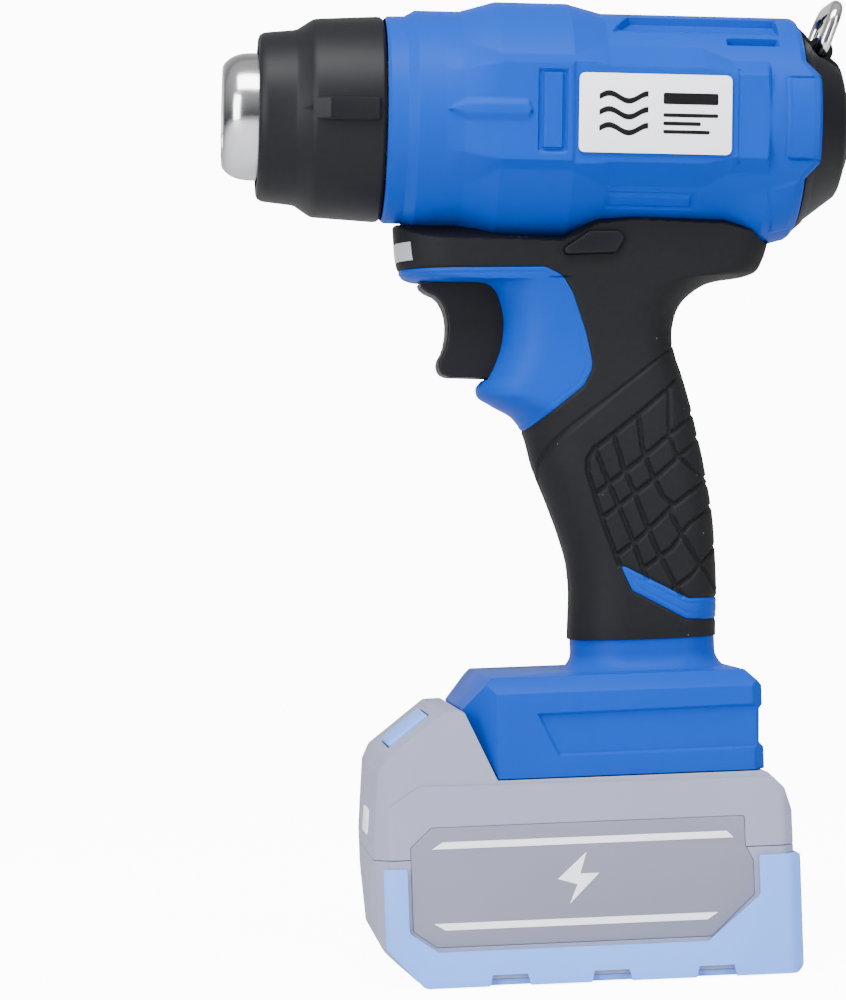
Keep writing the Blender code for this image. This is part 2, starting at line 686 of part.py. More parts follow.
def build_heater(axis):
    r = NOZZLE_RADIUS - NOZZLE_WALL - GAP
    front, rear = NOZZLE_FRONT + 9.2, nozzle_flange()[0]
    sleeve = [(front, r), (rear, r), (rear, r - 0.75), (front, r - 0.75)]
    finish(turned("insulation_sleeve", sleeve, segments=24, parent=axis), "mica")

    mount_front = nozzle_flange()[1] + GAP
    mount_rear = mount_front + 2.4
    bore, rim = r - 0.75, TAIL_RADIUS - GAP - 2.2 - GAP
    ring = [(mount_front, rim), (mount_rear, rim), (mount_rear, bore), (mount_front, bore)]
    finish(turned("heater_mount", ring, segments=24, parent=axis), "ceramic")

    former, half = bore - GAP - 3.4, 0.6
    length = (front + 1.5, mount_rear)
    core = box("heater_core", (length[0], -half, -former), (length[1], half, former), axis)
    core = join(core, box("cross", (length[0], -former, -half), (length[1], former, half), axis))
    foot = bore - GAP
    core = join(core, box("foot", (length[1] - 2.4, -half, -foot), (length[1], half, foot), axis))
    core = join(core, box("arm", (length[1] - 2.4, -foot, -half), (length[1], foot, half), axis))
    finish(core, "mica")

    turns, steps, wire = 6, 10, 0.6
    coil_radius = (former + wire + GAP) / math.cos(math.pi / steps)
    start, end = length[0] + 1.5, length[1] - 5.0
    path = []
    for k in range(turns * steps + 1):
        a = math.tau * k / steps
        u = start + (end - start) * k / (turns * steps)
        path.append((u, coil_radius * math.sin(a), coil_radius * math.cos(a)))
    finish(swept("heater_coil", path, wire, sides=4, parent=axis), "copper")

    place = (length[1] + 0.4 + GAP, 0.0, 0.0)
    sensor = rod("thermal_sensor", place, (place[0] + 9, 0, 0), 2.0, segments=12, parent=axis)
    finish(sensor, "steel")


# ---------------------------------------------------------------- blower


def fan_place():
    """(front, rear) of the fan's hub along the barrel, just ahead of the motor."""
    return MOTOR_FRONT - 13.0, MOTOR_FRONT - 4.0


def build_duct(axis):
    """The housing round the fan that narrows to the heater."""
    front = nozzle_flange()[1] + GAP + 2.4 + GAP
    small = NOZZLE_RADIUS - NOZZLE_WALL - GAP - 0.75
    big = BORE_RADIUS - GAP
    widen, open_at, rear = BARREL_FRONT + 17.5, fan_place()[0] - 3.5, fan_place()[1] + 1.5
    outside = [(front, small + 1.6), (widen, small + 1.6), (open_at, big), (rear, big)]
    inside = [(rear, big - 1.6), (open_at, big - 1.6), (widen, small), (front, small)]
    duct = turned("fan_duct", outside + inside, segments=24, parent=axis)
    for side in (-5, 5):
        hole = rod("hole", (widen + 2, side, -big), (widen + 2, side, -small / 2), 1.6, parent=axis)
        duct = cut(duct, hole)
    finish(duct, "black")


def build_fan(axis):
    front, rear = fan_place()
    tip = BORE_RADIUS - GAP - 1.6 - 1.0
    bore = SHAFT_RADIUS + GAP
    hub = [(front, 5.0), (front + 1.5, 6.5), (rear, 6.5), (rear, bore), (front, bore)]
    fan = turned("fan_impeller", hub, segments=16, parent=axis)
    for turn in angles(FAN_BLADES):
        rings = []
        for radius, pitch in ((5.6, 0.9), ((tip + 6) / 2, 0.6), (tip, 0.42)):
            reach_u = 3.8
            ring = []
            for along, across in ((-1, -0.5), (1, -0.5), (1, 0.5), (-1, 0.5)):
                u = (front + rear) / 2 + along * reach_u * math.sin(pitch) + across * math.cos(pitch) * 1.1
                side = along * reach_u * math.cos(pitch) - across * math.sin(pitch) * 1.1
                y = radius * math.sin(turn) + side * math.cos(turn)
                z = radius * math.cos(turn) - side * math.sin(turn)
                ring.append((u, y, z))
            rings.append(ring)
        fan = join(fan, loft("blade", rings, axis))
    finish(fan, "black")


def build_motor(axis):
    front, r = MOTOR_FRONT, MOTOR_RADIUS
    rear = front + MOTOR_LENGTH
    bore = SHAFT_RADIUS + GAP
    can = [(front, bore + 1.5), (front, r - 1), (front + 1, r), (rear - 4, r), (rear - 4, r - 1.2)]
    can += [(front + 1.2, r - 1.2), (front + 1.2, bore + 1.5)]
    finish(turned("motor_can", can, segments=24, parent=axis), "steel")
    end = [(rear - 4 + GAP, r), (rear - 1, r), (rear, r - 2), (rear, bore), (rear - 4 + GAP, bore)]
    finish(turned("motor_end_cap", end, segments=24, parent=axis), "black")
    shaft = [(fan_place()[0] - 1.5, SHAFT_RADIUS), (rear + 1.5, SHAFT_RADIUS)]
    finish(turned("motor_shaft", shaft, segments=12, parent=axis, hollow=False), "steel")
    core = [(front + 5, bore), (front + 5, r - 4.0), (rear - 8, r - 4.0), (rear - 8, bore)]
    finish(turned("motor_armature", core, segments=16, parent=axis), "copper")
    near, far = front + 9, front + 16
    hold, rim, band = r + GAP, BORE_RADIUS - GAP, 1.8
    ring = [(near, hold), (near, hold + band), (far, hold + band), (far, hold)]
    bracket = turned("motor_bracket", ring, segments=24, parent=axis)
    outer = [(near, rim - band), (near, rim), (far, rim), (far, rim - band)]
    bracket = join(bracket, turned("rim", outer, segments=24, parent=axis))
    for turn in angles(4):
        spoke = box("spoke", (near, -1.2, hold + 1.0), (far, 1.2, rim - 1.0), axis)
        spoke.data.transform(Matrix.Rotation(math.pi / 4 + turn, 4, "X"))
        bracket = join(bracket, spoke)
    finish(bracket, "rubber")


# ---------------------------------------------------------------- rear end


def ring_bar():
    """(u, w) of the bar that the hanging ring turns on."""
    return BARREL_REAR + 6.4, BARREL_RADIUS - 9.4


def build_rear_cap(axis):
    front, rear = BARREL_REAR + GAP, CAP_REAR
    collar = BORE_RADIUS - GAP
    outer = BARREL_RADIUS - 2.2
    outside = [(BARREL_REAR - 4, collar), (front, collar), (front, outer), (front + 3.2, outer - 3.2)]
    outside += [(rear - 4.0, outer - 7.8), (rear - 1.2, outer - 11.2), (rear, outer - 13.0)]
    inside = [(rear, 12.6), (rear - 2.2, 12.6), (rear - 2.2, outer - 13.0), (rear - 5.6, outer - 9.8)]
    inside += [(front + 3.0, outer - 6.0), (front, collar - 2.2), (BARREL_REAR - 4, collar - 2.2)]
    cap = turned("rear_cap", outside + inside, parent=axis)
    u, w = ring_bar()
    bore = RING_WIRE + SLIDE_GAP
    cap = join(cap, rod("bearing", (u, -8.6, w), (u, 8.6, w), bore + 1.5, parent=axis))
    cap = cut(cap, rod("bearing_bore", (u, -30, w), (u, 30, w), bore, parent=axis))
    for side in (-1, 1):
        low, high = sorted((side * 8.6, side * 15.5))
        cap = cut(cap, box("leg_way", (u - 8, low, w - bore - 0.5), (u + 20, high, w + 20), axis))
    finish(cap, "black")

    disc = [(rear - 2.0, 12.2), (rear + 0.6, 12.2), (rear + 1.2, 11.6)]
    grille = turned("intake_grille", disc, parent=axis, hollow=False)
    for k in range(-2, 3):
        half = math.sqrt(10.4**2 - (4.0 * k) ** 2)
        slot = box("slot", (rear - 5, -half, 4.0 * k - 1.1), (rear + 5, half, 4.0 * k + 1.1), axis)
        grille = cut(grille, slot)
    finish(grille, "black")


def build_hang_ring(axis):
    """The closed wire ring, standing up and leaning back, with its origin on its bar."""
    u, w = ring_bar()
    half, tall, high, low, lean = 11.6, 13.0, 5.5, 2.4, math.radians(20)
    corners = ((half - high, tall - high, 0, high), (high - half, tall - high, 1, high))
    corners += ((low - half, low, 2, low), (half - low, low, 3, low))
    ring = []
    for cy, cz, quarter, r in corners:
        steps = 5 if r == high else 3
        for k in range(steps + 1):
            a = math.pi / 2 * (quarter + k / steps)
            ring.append((cy + r * math.cos(a), cz + r * math.sin(a)))
    path = [(z * math.sin(lean), y, z * math.cos(lean)) for y, z in ring]
    ring = swept("hang_ring", path, RING_WIRE, sides=10, parent=axis, closed=True)
    ring.location = Vector((u, 0, w)) * MM
    finish(ring, "steel", 60)


# ---------------------------------------------------------------- controls


def build_trigger():
    back, middle = -8.0, SADDLE - 26  # rear face and height of the spring
    shape = [(-32.8, -12.6), (-32.4, -14.0), (-28.7, -16.3), (-27.2, -18.3), (-26.0, -21.1)]
    shape += [(-25.7, -23.7), (-26.2, -28.1), (-27.1, -31.0), (-28.4, -33.1), (-28.8, -35.0)]
    shape += [(-28.1, -36.9), (-26.6, -37.9), (-17.1, -38.6), (back, -38.6), (back, -12.6)]
    outline = [(x, SADDLE + below) for x, below in shape]
    half, edge = TRIGGER_HALF_WIDTH, 1.6
    inner = [(x + edge if x < -20 else x, z) for x, z in outline]
    rings = []
    for y, line in ((-half, inner), (edge - half, outline), (half - edge, outline), (half, inner)):
        rings.append([(x, y, z) for x, z in line])
    trigger = loft("trigger", rings)
    pin = rod("pin", (back - 1, 0, middle), (back + 2.5, 0, middle), 1.8)
    move_origin(finish(join(trigger, pin), "black"), (back, 0, middle))

    switch_front, switch_rear = back + TRIGGER_TRAVEL + 6.0, 24.0
    body = box("trigger_switch", (switch_front, -8, SADDLE - 37), (switch_rear, 8, SADDLE - 13))
    spigot = rod("spigot", (switch_front - 2.0, 0, middle), (switch_front + 1, 0, middle), 1.8)
    body = join(body, spigot)
    for side in (-8.6, 8.6):
        ear = (switch_front + 4, side - 1.4, SADDLE - 34), (switch_rear - 4, side + 1.4, SADDLE - 16)
        body = join(body, box("ear", *ear))
    finish(body, "black")

    turns, steps, wire = 4, 8, 0.45
    start, end = back + wire + GAP, switch_front - wire - GAP
    path = []
    for k in range(turns * steps + 1):
        a = math.tau * k / steps
        x = start + (end - start) * k / (turns * steps)
        path.append((x, 3.2 * math.cos(a), middle + 3.2 * math.sin(a)))
    finish(swept("trigger_spring", path, wire, sides=4), "steel")


def build_lock():
    lock = lock_box("lock_button")
    middle = (13.0, 0.0, SADDLE - 3.6)
    waist = box("waist", (0, -8, SADDLE - 12), (30, 8, SADDLE - 5.6))
    lock = cut(lock, waist)
    move_origin(finish(lock, "black"), middle)


def build_lamp():
    lens = cross(led_box("led_lens"), handle_solid("nose", 0.0, SADDLE - 12, SADDLE + 4))
    finish(lens, "clear")
    rear = BARREL_FRONT + 1.9 + 5.0 + GAP
    z = SADDLE - 4.2
    lamp = box("led_board", (rear + 0.6, -4.2, z - 2.6), (rear + 1.6, 4.2, z + 2.6))
    lamp = join(lamp, rod("led", (rear, 0, z), (rear + 1, 0, z), 1.6))
    finish(lamp, "board")


def build_labels(axis):
    """The two flat plates on the barrel's pads."""
    half_length, corner = LABEL_LENGTH / 2, 1.5
    places = ((1, 1, 0), (-1, 1, 1), (-1, -1, 2), (1, -1, 3))
    outline = []
    for along, up, quarter in places:
        for k in range(4):
            a = math.pi / 2 * (quarter + k / 3)
            u = PAD_PLACE + along * (half_length - corner) + corner * math.cos(a)
            outline.append((u, up * (LABEL_HALF - corner) + corner * math.sin(a)))
    inner, outer = PAD_OUT + GAP, PAD_OUT + GAP + 0.5
    finish(prism("label_left", outline, -outer, -inner, axis), "silver")
    finish(prism("label_right", outline, inner, outer, axis), "silver")


# ---------------------------------------------------------------- electronics


def build_control_board():
    low, high = FOOT_TOP + 0.42 * GRIP_LENGTH, SADDLE - 50
    board = box("control_board", (12.0, -9.5, low), (13.6, 9.5, high))
    sink = box("heat_sink", (9.4, -6.5, low + 8), (12.5, 6.5, low + 22))
    board = join(board, sink)
    for y, z in ((-5, high - 6), (5, high - 6)):
        board = join(board, rod("capacitor", (13.0, y, z), (19.0, y, z), 3.2))
    finish(board, "board")


def build_terminals():
    top = FOOT_TOP - WALL - GAP
    low = HEAD_TOP + 2.2
    block = box("terminal_block", (9, -16, low), (35, 16, top))
    wing = FOOT_WIDTH / 2 - WALL - GAP
    block = join(block, box("carrier", (14, -wing, top - 2.4), (30, wing, top)))
    finish(block, "black")
    for label, y in (("negative", -11.0), ("signal", 0.0), ("positive", 11.0)):
        blade_low, blade_high = PACK_SHOULDER + 3.6, low - GAP
        blade = box("terminal_" + label, (12, y - 0.4, blade_low), (31, y + 0.4, blade_high))
        finish(blade, "steel")


def lead(name, points, colour, radius=1.1):
    finish(swept(name, smooth_path(points), radius, sides=6), colour)


def build_leads():
    block_top = FOOT_TOP - WALL + 0.6
    switch_low, switch_high = SADDLE - 38, SADDLE - 12
    middle = FOOT_TOP + 0.5 * GRIP_LENGTH
    for name, side, colour in (("positive", 1, "red"), ("negative", -1, "black")):
        y = 3.2 * side
        points = [(21.5, y, block_top), (22.0, y, block_top + 12), (22.5, y, middle)]
        points += [(20.5, y, ZONE_BOTTOM), (17.0, y, switch_low)]
        lead("battery_lead_" + name, points, colour)
        end = from_barrel(MOTOR_FRONT + MOTOR_LENGTH + 1.6, -8.0)
        y *= 1.4
        points = [(19.0, y, switch_high), (26.0, y, SADDLE - 8.6), (36.0, y, SADDLE - 1.0)]
        points += [(end[0] + 1.0, y, end[2] - 8.0), (end[0] + 0.8, y, end[2])]
        lead("motor_lead_" + name, points, colour)
    widen = from_barrel(BARREL_FRONT + 19.5, -16.0)
    for name, side in (("left", -1), ("right", 1)):
        y = 5.0 * side
        points = [(5.6, y, switch_high), (1.4, y, SADDLE - 7.5), (-6.0, y, SADDLE - 2.5)]
        points += [(widen[0] + 3.5, y, SADDLE + 1.5), (widen[0], y, widen[2] - 4.5)]
        points.append((widen[0], y, widen[2]))
        lead("heater_lead_" + name, points, "ceramic", 0.9)


# ---------------------------------------------------------------- battery pack


def pack_outline():
    """The pack's side view without its rail block, counter-clockwise from the bottom front."""
    front, rear, shoulder = PACK_FRONT, CASE_REAR, PACK_SHOULDER
    slope_low = FOOT_FRONT - GAP
    scale = PACK_HUMP / (MOUTH_SLOPE[1] + GAP)
    slope_high = slope_low - MOUTH_SLOPE[0] * scale
    points = [(front + 12.2, 0.0), (rear - 1.8, 0.0), (rear, 1.8), (rear, PACK_PARTING)]
    points += [(rear - 0.2, shoulder - 10.8), (rear - 2.3, shoulder - 4.8), (rear - 7.0, shoulder)]
    points.append((slope_low, shoulder))
    points += [(slope_high, HUMP_TOP), (slope_high - 5.2, HUMP_TOP), (front + 3.9, HUMP_TOP - 11.8)]
    points += [(front + 1.8, HUMP_TOP - 15.8), (front, PACK_PARTING + 3), (front + 0.1, PACK_PARTING - 6.6)]
    points += [(front + 1.4, 10.2)]
    return points


def case_plan(extra=0.0):
    """The case's outline seen from above, its corners cut off, grown by extra."""
    half, front, rear = CASE_HALF + extra, PACK_FRONT - extra, CASE_REAR + extra
    front_cut, rear_cut = 4.5, 3.0
    plan = [(front, front_cut - half), (front + front_cut, -half)]
    plan += [(rear - rear_cut, -half), (rear, rear_cut - half)]
    return plan + [(x, -y) for x, y in plan[::-1]]


def pack_solid(name, inset):
    half = CASE_HALF - inset
    solid = prism(name, grown(pack_outline(), -inset), -half, half)
    return cross(solid, plate("plan", case_plan(-inset), -10, HUMP_TOP + 10))


def rail_block(name):
    """The block on the pack's top that the foot's rails hold."""
    front = FOOT_FRONT - 3
    low = PACK_SHOULDER
    neck = box(name, (front, -RAIL_NECK, low - 1), (RAIL_REAR, RAIL_NECK, low + RAIL_NECK_HEIGHT + 1))
    lip = low + RAIL_NECK_HEIGHT
    return join(neck, box("head", (front - 2, -RAIL_HEAD, lip), (RAIL_REAR, RAIL_HEAD, HEAD_TOP)))


def button_frame():
    """Middle of the sloped front of the hump, its direction up the slope and its normal, in (x, z)."""
    low, high = (PACK_FRONT + 3.9, HUMP_TOP - 11.8), (FOOT_FRONT - GAP - 13.6, HUMP_TOP)
    along = Vector((high[0] - low[0], high[1] - low[1])).normalized()
    middle = Vector(((high[0] + low[0]) / 2, (high[1] + low[1]) / 2))
    return middle, along, Vector((-along.y, along.x))


def button_solid(name, extra, low, high):
    """A block square to the slope, from low to high along its normal."""
    middle, along, normal = button_frame()
    reach_along = 6.6 + extra
    outline = []
    for a, n in ((-reach_along, low), (reach_along, low), (reach_along, high), (-reach_along, high)):
        outline.append(tuple(middle + along * a + normal * n))
    half = 14.5 + extra
    return prism(name, outline, -half, half)


def hook_boxes(extra_low=0.0, extra=0.0):
    """The latch arm in the rail head and its hook, as (lowest, highest) corners."""
    arm_top, rear, half = HEAD_TOP - 3.4, -6.0 + extra * 8, 6 + extra
    arm_low = arm_top - 2.0 - extra_low - extra
    arm = (-34.0, -half, arm_low), (rear, half, arm_top + extra)
    hook = (-11.0 - extra, -half, arm_top - 1.8), (rear, half, HEAD_TOP + 1.6 + extra * 5)
    return arm, hook


def build_pack_case():
    case = join(pack_solid("pack", 0.0), rail_block("rail"))
    inner_half = CELL_LENGTH / 2 + 2.0
    limit = box("limit", (-200, -inner_half, -10), (200, inner_half, 200))
    hollow = cross(pack_solid("hollow", PACK_WALL), limit)
    case = cut(case, hollow)
    case = cut(case, button_solid("button_way", SLIDE_GAP, -8.0, 5.0))
    arm, hook = hook_boxes(BUTTON_TRAVEL, SLIDE_GAP)
    case = cut(case, box("arm_way", (-30.0, arm[0][1], arm[0][2]), arm[1]))
    case = cut(case, box("hook_way", *hook))
    for y in (-11.0, 0.0, 11.0):
        slot = (9.0, y - 1.7, PACK_SHOULDER + 2.4), (RAIL_REAR + 5, y + 1.7, HEAD_TOP + 5)
        case = cut(case, box("blade_slot", *slot))
    for side in (-1, 1):
        depth = sorted((side * (CASE_HALF - PANEL_DEPTH), side * 60))
        window = prism("panel", side_panel_outline(0.4), *depth)
        case = cut(case, window)
    upper = case
    lower = copy_of(case, "pack_case_lower")
    upper.name = "pack_case_upper"
    split = PACK_PARTING
    upper = cut(upper, box("low", (-200, -200, -50), (200, 200, split + GAP / 2)))
    lower = cut(lower, box("high", (-200, -200, split - GAP / 2), (200, 200, 200)))
    lower = cut(lower, box("floor", (-200, -200, -10), (200, 200, BUMPER_THICKNESS + GAP)))
    for item in (upper, lower):
        finish(item, "pale_grey")


def bumper_outline():
    """Side view of the bumper, counter-clockwise, without its window."""
    front, rear = PACK_FRONT, PACK_REAR
    top = PACK_PARTING - 2.2
    points = [(front + 12.2, 0.0), (rear - 1.6, 0.0), (rear, 1.8), (rear, top), (rear - 11.5, top)]
    points += [(rear - 11.5, 21.0), (rear - 25.5, 9.4), (front + 16.0, 9.4), (front + 8.5, 14.6)]
    points += [(front + 8.5, top), (front + 0.6, top), (front + 1.2, 12.0)]
    return points


def build_bumper():
    """The bumper: side frames and a rear band, joined by the floor plate that the tool stands on."""
    half = PACK_WIDTH / 2
    bumper = prism("pack_bumper", bumper_outline(), -half, half)
    bumper = cut(bumper, plate("inside", case_plan(GAP), BUMPER_THICKNESS, 200))
    inner = CASE_HALF + GAP
    front_gap = box("front_gap", (PACK_FRONT - 5, -inner, -5), (PACK_FRONT + 14.0, inner, 50))
    bumper = cut(bumper, front_gap)
    for x in (PACK_FRONT + 34.5, PACK_FRONT + 61.2, PACK_FRONT + 88.9):
        notch = [(x - 5.6, -1), (x + 5.6, -1), (x + 4.6, 3.0), (x - 4.6, 3.0)]
        for side in (-1, 1):
            bumper = cut(bumper, prism("notch", notch, *sorted((side * (half - 2.5), side * (half + 5)))))
    finish(bumper, "pale_blue")


def side_panel_outline(extra=0.0):
    """The eight-sided panel on each side of the pack, counter-clockwise."""
    front, rear = PACK_FRONT + 9.6, PACK_REAR - 13.0
    low, high = 10.6, PACK_PARTING + 8.2
    points = [(front + 6.0, low), (rear - 11.5, low), (rear, low + 10.5), (rear, high), (front + 5.5, high)]
    points += [(front, high - 5.0), (front, low + 4.4)]
    return grown(points, extra)


def build_side_panels():
    for name, side in (("pack_panel_left", -1), ("pack_panel_right", 1)):
        low, high = sorted((side * (CASE_HALF - PANEL_DEPTH + GAP), side * (CASE_HALF + 0.2)))
        finish(prism(name, side_panel_outline(), low, high), "pale_grey")


def build_cells():
    """Two rows of cells, each row welded together by nickel strips on both ends."""
    pitch = 2 * CELL_RADIUS + 0.3
    middle, half = (PACK_FRONT + CASE_REAR) / 2 + 1.2, CELL_LENGTH / 2
    low = PACK_WALL + CELL_RADIUS + 1.6
    for row, height in (("lower", low), ("upper", low + 2 * CELL_RADIUS + 0.6)):
        cells = []
        for k in range(CELLS_IN_ROW):
            x = middle + (k - (CELLS_IN_ROW - 1) / 2) * pitch
            cell = rod("cell", (x, -half, height), (x, half, height), CELL_RADIUS, segments=12)
            cells.append(cell)
        reach_x = (CELLS_IN_ROW - 1) / 2 * pitch + 5
        item = cells[0]
        for side in (-1, 1):
            y = sorted((side * (half - 0.3), side * (half + 0.5)))
            low_corner = (middle - reach_x, y[0], height - 4)
            strip = box("strip", low_corner, (middle + reach_x, y[1], height + 4))
            item = join(item, strip)
        for other in cells[1:]:
            item = join(item, other)
        item.name = "cell_row_" + row
        finish(item, "cell")


def build_pack_board():
    low = PACK_WALL + 4 * CELL_RADIUS + 3.6
    board = box("pack_board", (-20, -24, low), (40, 24, low + 1.6))
    for y in (-11.0, 11.0):
        board = join(board, box("part", (14, y - 4, low + 1), (26, y + 4, low + 4)))
    finish(board, "board")
    for label, y in (("negative", -11.0), ("positive", 11.0)):
        leaf_low = (12, y + 0.7, PACK_SHOULDER + 2.7)
        leaf = box("pack_contact_" + label, leaf_low, (30, y + 1.4, HEAD_TOP - 0.6))
        finish(leaf, "copper")


def build_release():
    """The release button with its latch arm and hook, and the spring under it."""
    middle, along, normal = button_frame()
    button = button_solid("release_button", 0.0, -3.4, 0.9)
    arm, hook = hook_boxes()
    button = join(button, box("arm", *arm))
    web = (-36.5, -6, arm[0][2]), (-33.0, 6, HEAD_TOP + 1.0)
    button = join(button, box("web", *web))
    button = join(button, box("hook", *hook))
    start = middle + along * 1.0
    move_origin(finish(button, "pale_blue"), (start.x, 0, start.y))

    turns, steps, wire = 3, 8, 0.4
    seat = middle - along * 3.0
    path = []
    for k in range(turns * steps + 1):
        a = math.tau * k / steps
        depth = -3.4 - wire - GAP - 8.0 * k / (turns * steps)
        centre = seat + normal * depth + along * 2.6 * math.cos(a)
        path.append((centre.x, 10 + 2.6 * math.sin(a), centre.y))
    finish(swept("release_spring", path, wire, sides=4), "steel")


def main():
    clear_scene()
    axis = barrel_frame()
    build_housing(axis)
    build_grip(axis)
    build_screws()
    build_heat_shield(axis)
    build_nozzle(axis)
    build_heater(axis)
    build_duct(axis)
    build_fan(axis)
    build_motor(axis)
    build_rear_cap(axis)
    build_hang_ring(axis)
    build_trigger()
    build_lock()
    build_lamp()
    build_labels(axis)
    build_control_board()
    build_terminals()
    build_leads()
    build_pack_case()
    build_bumper()
    build_side_panels()
    build_cells()
    build_pack_board()
    build_release()


main()
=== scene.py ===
import bmesh
import bpy
import json
import math
import numpy as np
from mathutils import Matrix, Vector

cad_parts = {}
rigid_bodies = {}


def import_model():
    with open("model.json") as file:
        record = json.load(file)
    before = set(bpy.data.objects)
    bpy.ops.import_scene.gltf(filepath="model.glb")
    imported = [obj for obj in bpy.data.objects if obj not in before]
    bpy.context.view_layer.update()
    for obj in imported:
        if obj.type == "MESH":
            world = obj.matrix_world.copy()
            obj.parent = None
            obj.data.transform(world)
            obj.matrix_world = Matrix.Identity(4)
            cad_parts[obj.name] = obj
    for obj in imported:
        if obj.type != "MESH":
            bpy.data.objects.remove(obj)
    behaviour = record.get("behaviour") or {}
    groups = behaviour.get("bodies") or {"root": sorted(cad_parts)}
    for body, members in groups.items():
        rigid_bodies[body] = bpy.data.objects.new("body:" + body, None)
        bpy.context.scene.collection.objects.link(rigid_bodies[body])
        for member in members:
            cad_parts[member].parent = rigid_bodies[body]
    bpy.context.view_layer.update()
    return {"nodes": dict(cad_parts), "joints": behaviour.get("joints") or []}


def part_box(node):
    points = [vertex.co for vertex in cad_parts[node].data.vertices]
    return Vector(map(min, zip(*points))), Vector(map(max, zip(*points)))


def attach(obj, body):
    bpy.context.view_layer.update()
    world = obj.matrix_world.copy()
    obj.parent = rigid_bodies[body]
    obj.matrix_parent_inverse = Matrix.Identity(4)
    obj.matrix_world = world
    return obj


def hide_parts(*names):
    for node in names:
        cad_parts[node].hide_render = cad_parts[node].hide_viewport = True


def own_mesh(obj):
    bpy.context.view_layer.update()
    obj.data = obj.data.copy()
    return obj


for item in list(bpy.data.objects):
    bpy.data.objects.remove(item)

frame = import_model()
joints = {joint["name"]: joint for joint in frame["joints"]}
mm = 0.001

# ---- stage one: finishes ----
print("finishes")



def newGroup(name, inputs, outputs):
    group = bpy.data.node_groups.new(name, "ShaderNodeTree")
    for label, kind, value in inputs:
        socket = group.interface.new_socket(name=label, in_out="INPUT", socket_type=kind)
        socket.default_value = value
    for label, kind in outputs:
        group.interface.new_socket(name=label, in_out="OUTPUT", socket_type=kind)
    return group, group.nodes.new("NodeGroupInput"), group.nodes.new("NodeGroupOutput")


def grainGroup():
    # fine moulded grain, as a normal
    inputs = (("Scale", "NodeSocketFloat", 900.0), ("Strength", "NodeSocketFloat", 0.1),
              ("Depth", "NodeSocketFloat", 0.0001))
    group, start, end = newGroup("mouldedGrain", inputs, (("Normal", "NodeSocketVector"),))
    place = group.nodes.new("ShaderNodeTexCoord")
    noise = group.nodes.new("ShaderNodeTexNoise")
    noise.inputs["Detail"].default_value = 3.0
    bump = group.nodes.new("ShaderNodeBump")
    link = group.links.new
    link(place.outputs["Object"], noise.inputs["Vector"])
    link(start.outputs["Scale"], noise.inputs["Scale"])
    link(noise.outputs["Fac"], bump.inputs["Height"])
    link(start.outputs["Strength"], bump.inputs["Strength"])
    link(start.outputs["Depth"], bump.inputs["Distance"])
    link(bump.outputs["Normal"], end.inputs["Normal"])
    return group


def unevenGroup():
    # slow changes of tone and gloss across a surface
    inputs = (("Colour", "NodeSocketColor", (0.5, 0.5, 0.5, 1.0)), ("Other", "NodeSocketColor", (0.5, 0.5, 0.5, 1.0)),
              ("Scale", "NodeSocketFloat", 40.0), ("Rough Low", "NodeSocketFloat", 0.3),
              ("Rough High", "NodeSocketFloat", 0.4))
    outputs = (("Colour", "NodeSocketColor"), ("Roughness", "NodeSocketFloat"))
    group, start, end = newGroup("unevenTone", inputs, outputs)
    place = group.nodes.new("ShaderNodeTexCoord")
    noise = group.nodes.new("ShaderNodeTexNoise")
    noise.inputs["Detail"].default_value = 4.0
    mix = group.nodes.new("ShaderNodeMix")
    mix.data_type = "RGBA"
    span = group.nodes.new("ShaderNodeMapRange")
    link = group.links.new
    link(place.outputs["Object"], noise.inputs["Vector"])
    link(start.outputs["Scale"], noise.inputs["Scale"])
    link(noise.outputs["Fac"], mix.inputs["Factor"])
    link(start.outputs["Colour"], mix.inputs["A"])
    link(start.outputs["Other"], mix.inputs["B"])
    link(noise.outputs["Fac"], span.inputs["Value"])
    link(start.outputs["Rough Low"], span.inputs["To Min"])
    link(start.outputs["Rough High"], span.inputs["To Max"])
    link(mix.outputs["Result"], end.inputs["Colour"])
    link(span.outputs["Result"], end.inputs["Roughness"])
    return group


def dustGroup():
    # sparse pale specks, as a mask
    inputs = (("Scale", "NodeSocketFloat", 260.0), ("Size", "NodeSocketFloat", 0.06), ("Amount", "NodeSocketFloat", 0.4))
    group, start, end = newGroup("dustSpecks", inputs, (("Mask", "NodeSocketFloat"),))
    place = group.nodes.new("ShaderNodeTexCoord")
    cells = group.nodes.new("ShaderNodeTexVoronoi")
    close = group.nodes.new("ShaderNodeMath")
    close.operation = "LESS_THAN"
    patches = group.nodes.new("ShaderNodeTexNoise")
    patches.inputs["Scale"].default_value = 90.0
    high = group.nodes.new("ShaderNodeMath")
    high.operation = "GREATER_THAN"
    high.inputs[1].default_value = 0.58
    both = group.nodes.new("ShaderNodeMath")
    both.operation = "MULTIPLY"
    share = group.nodes.new("ShaderNodeMath")
    share.operation = "MULTIPLY"
    link = group.links.new
    link(place.outputs["Object"], cells.inputs["Vector"])
    link(place.outputs["Object"], patches.inputs["Vector"])
    link(start.outputs["Scale"], cells.inputs["Scale"])
    link(cells.outputs["Distance"], close.inputs[0])
    link(start.outputs["Size"], close.inputs[1])
    link(patches.outputs["Fac"], high.inputs[0])
    link(close.outputs["Value"], both.inputs[0])
    link(high.outputs["Value"], both.inputs[1])
    link(both.outputs["Value"], share.inputs[0])
    link(start.outputs["Amount"], share.inputs[1])
    link(share.outputs["Value"], end.inputs["Mask"])
    return group


effects = {"grain": grainGroup(), "uneven": unevenGroup(), "dust": dustGroup()}

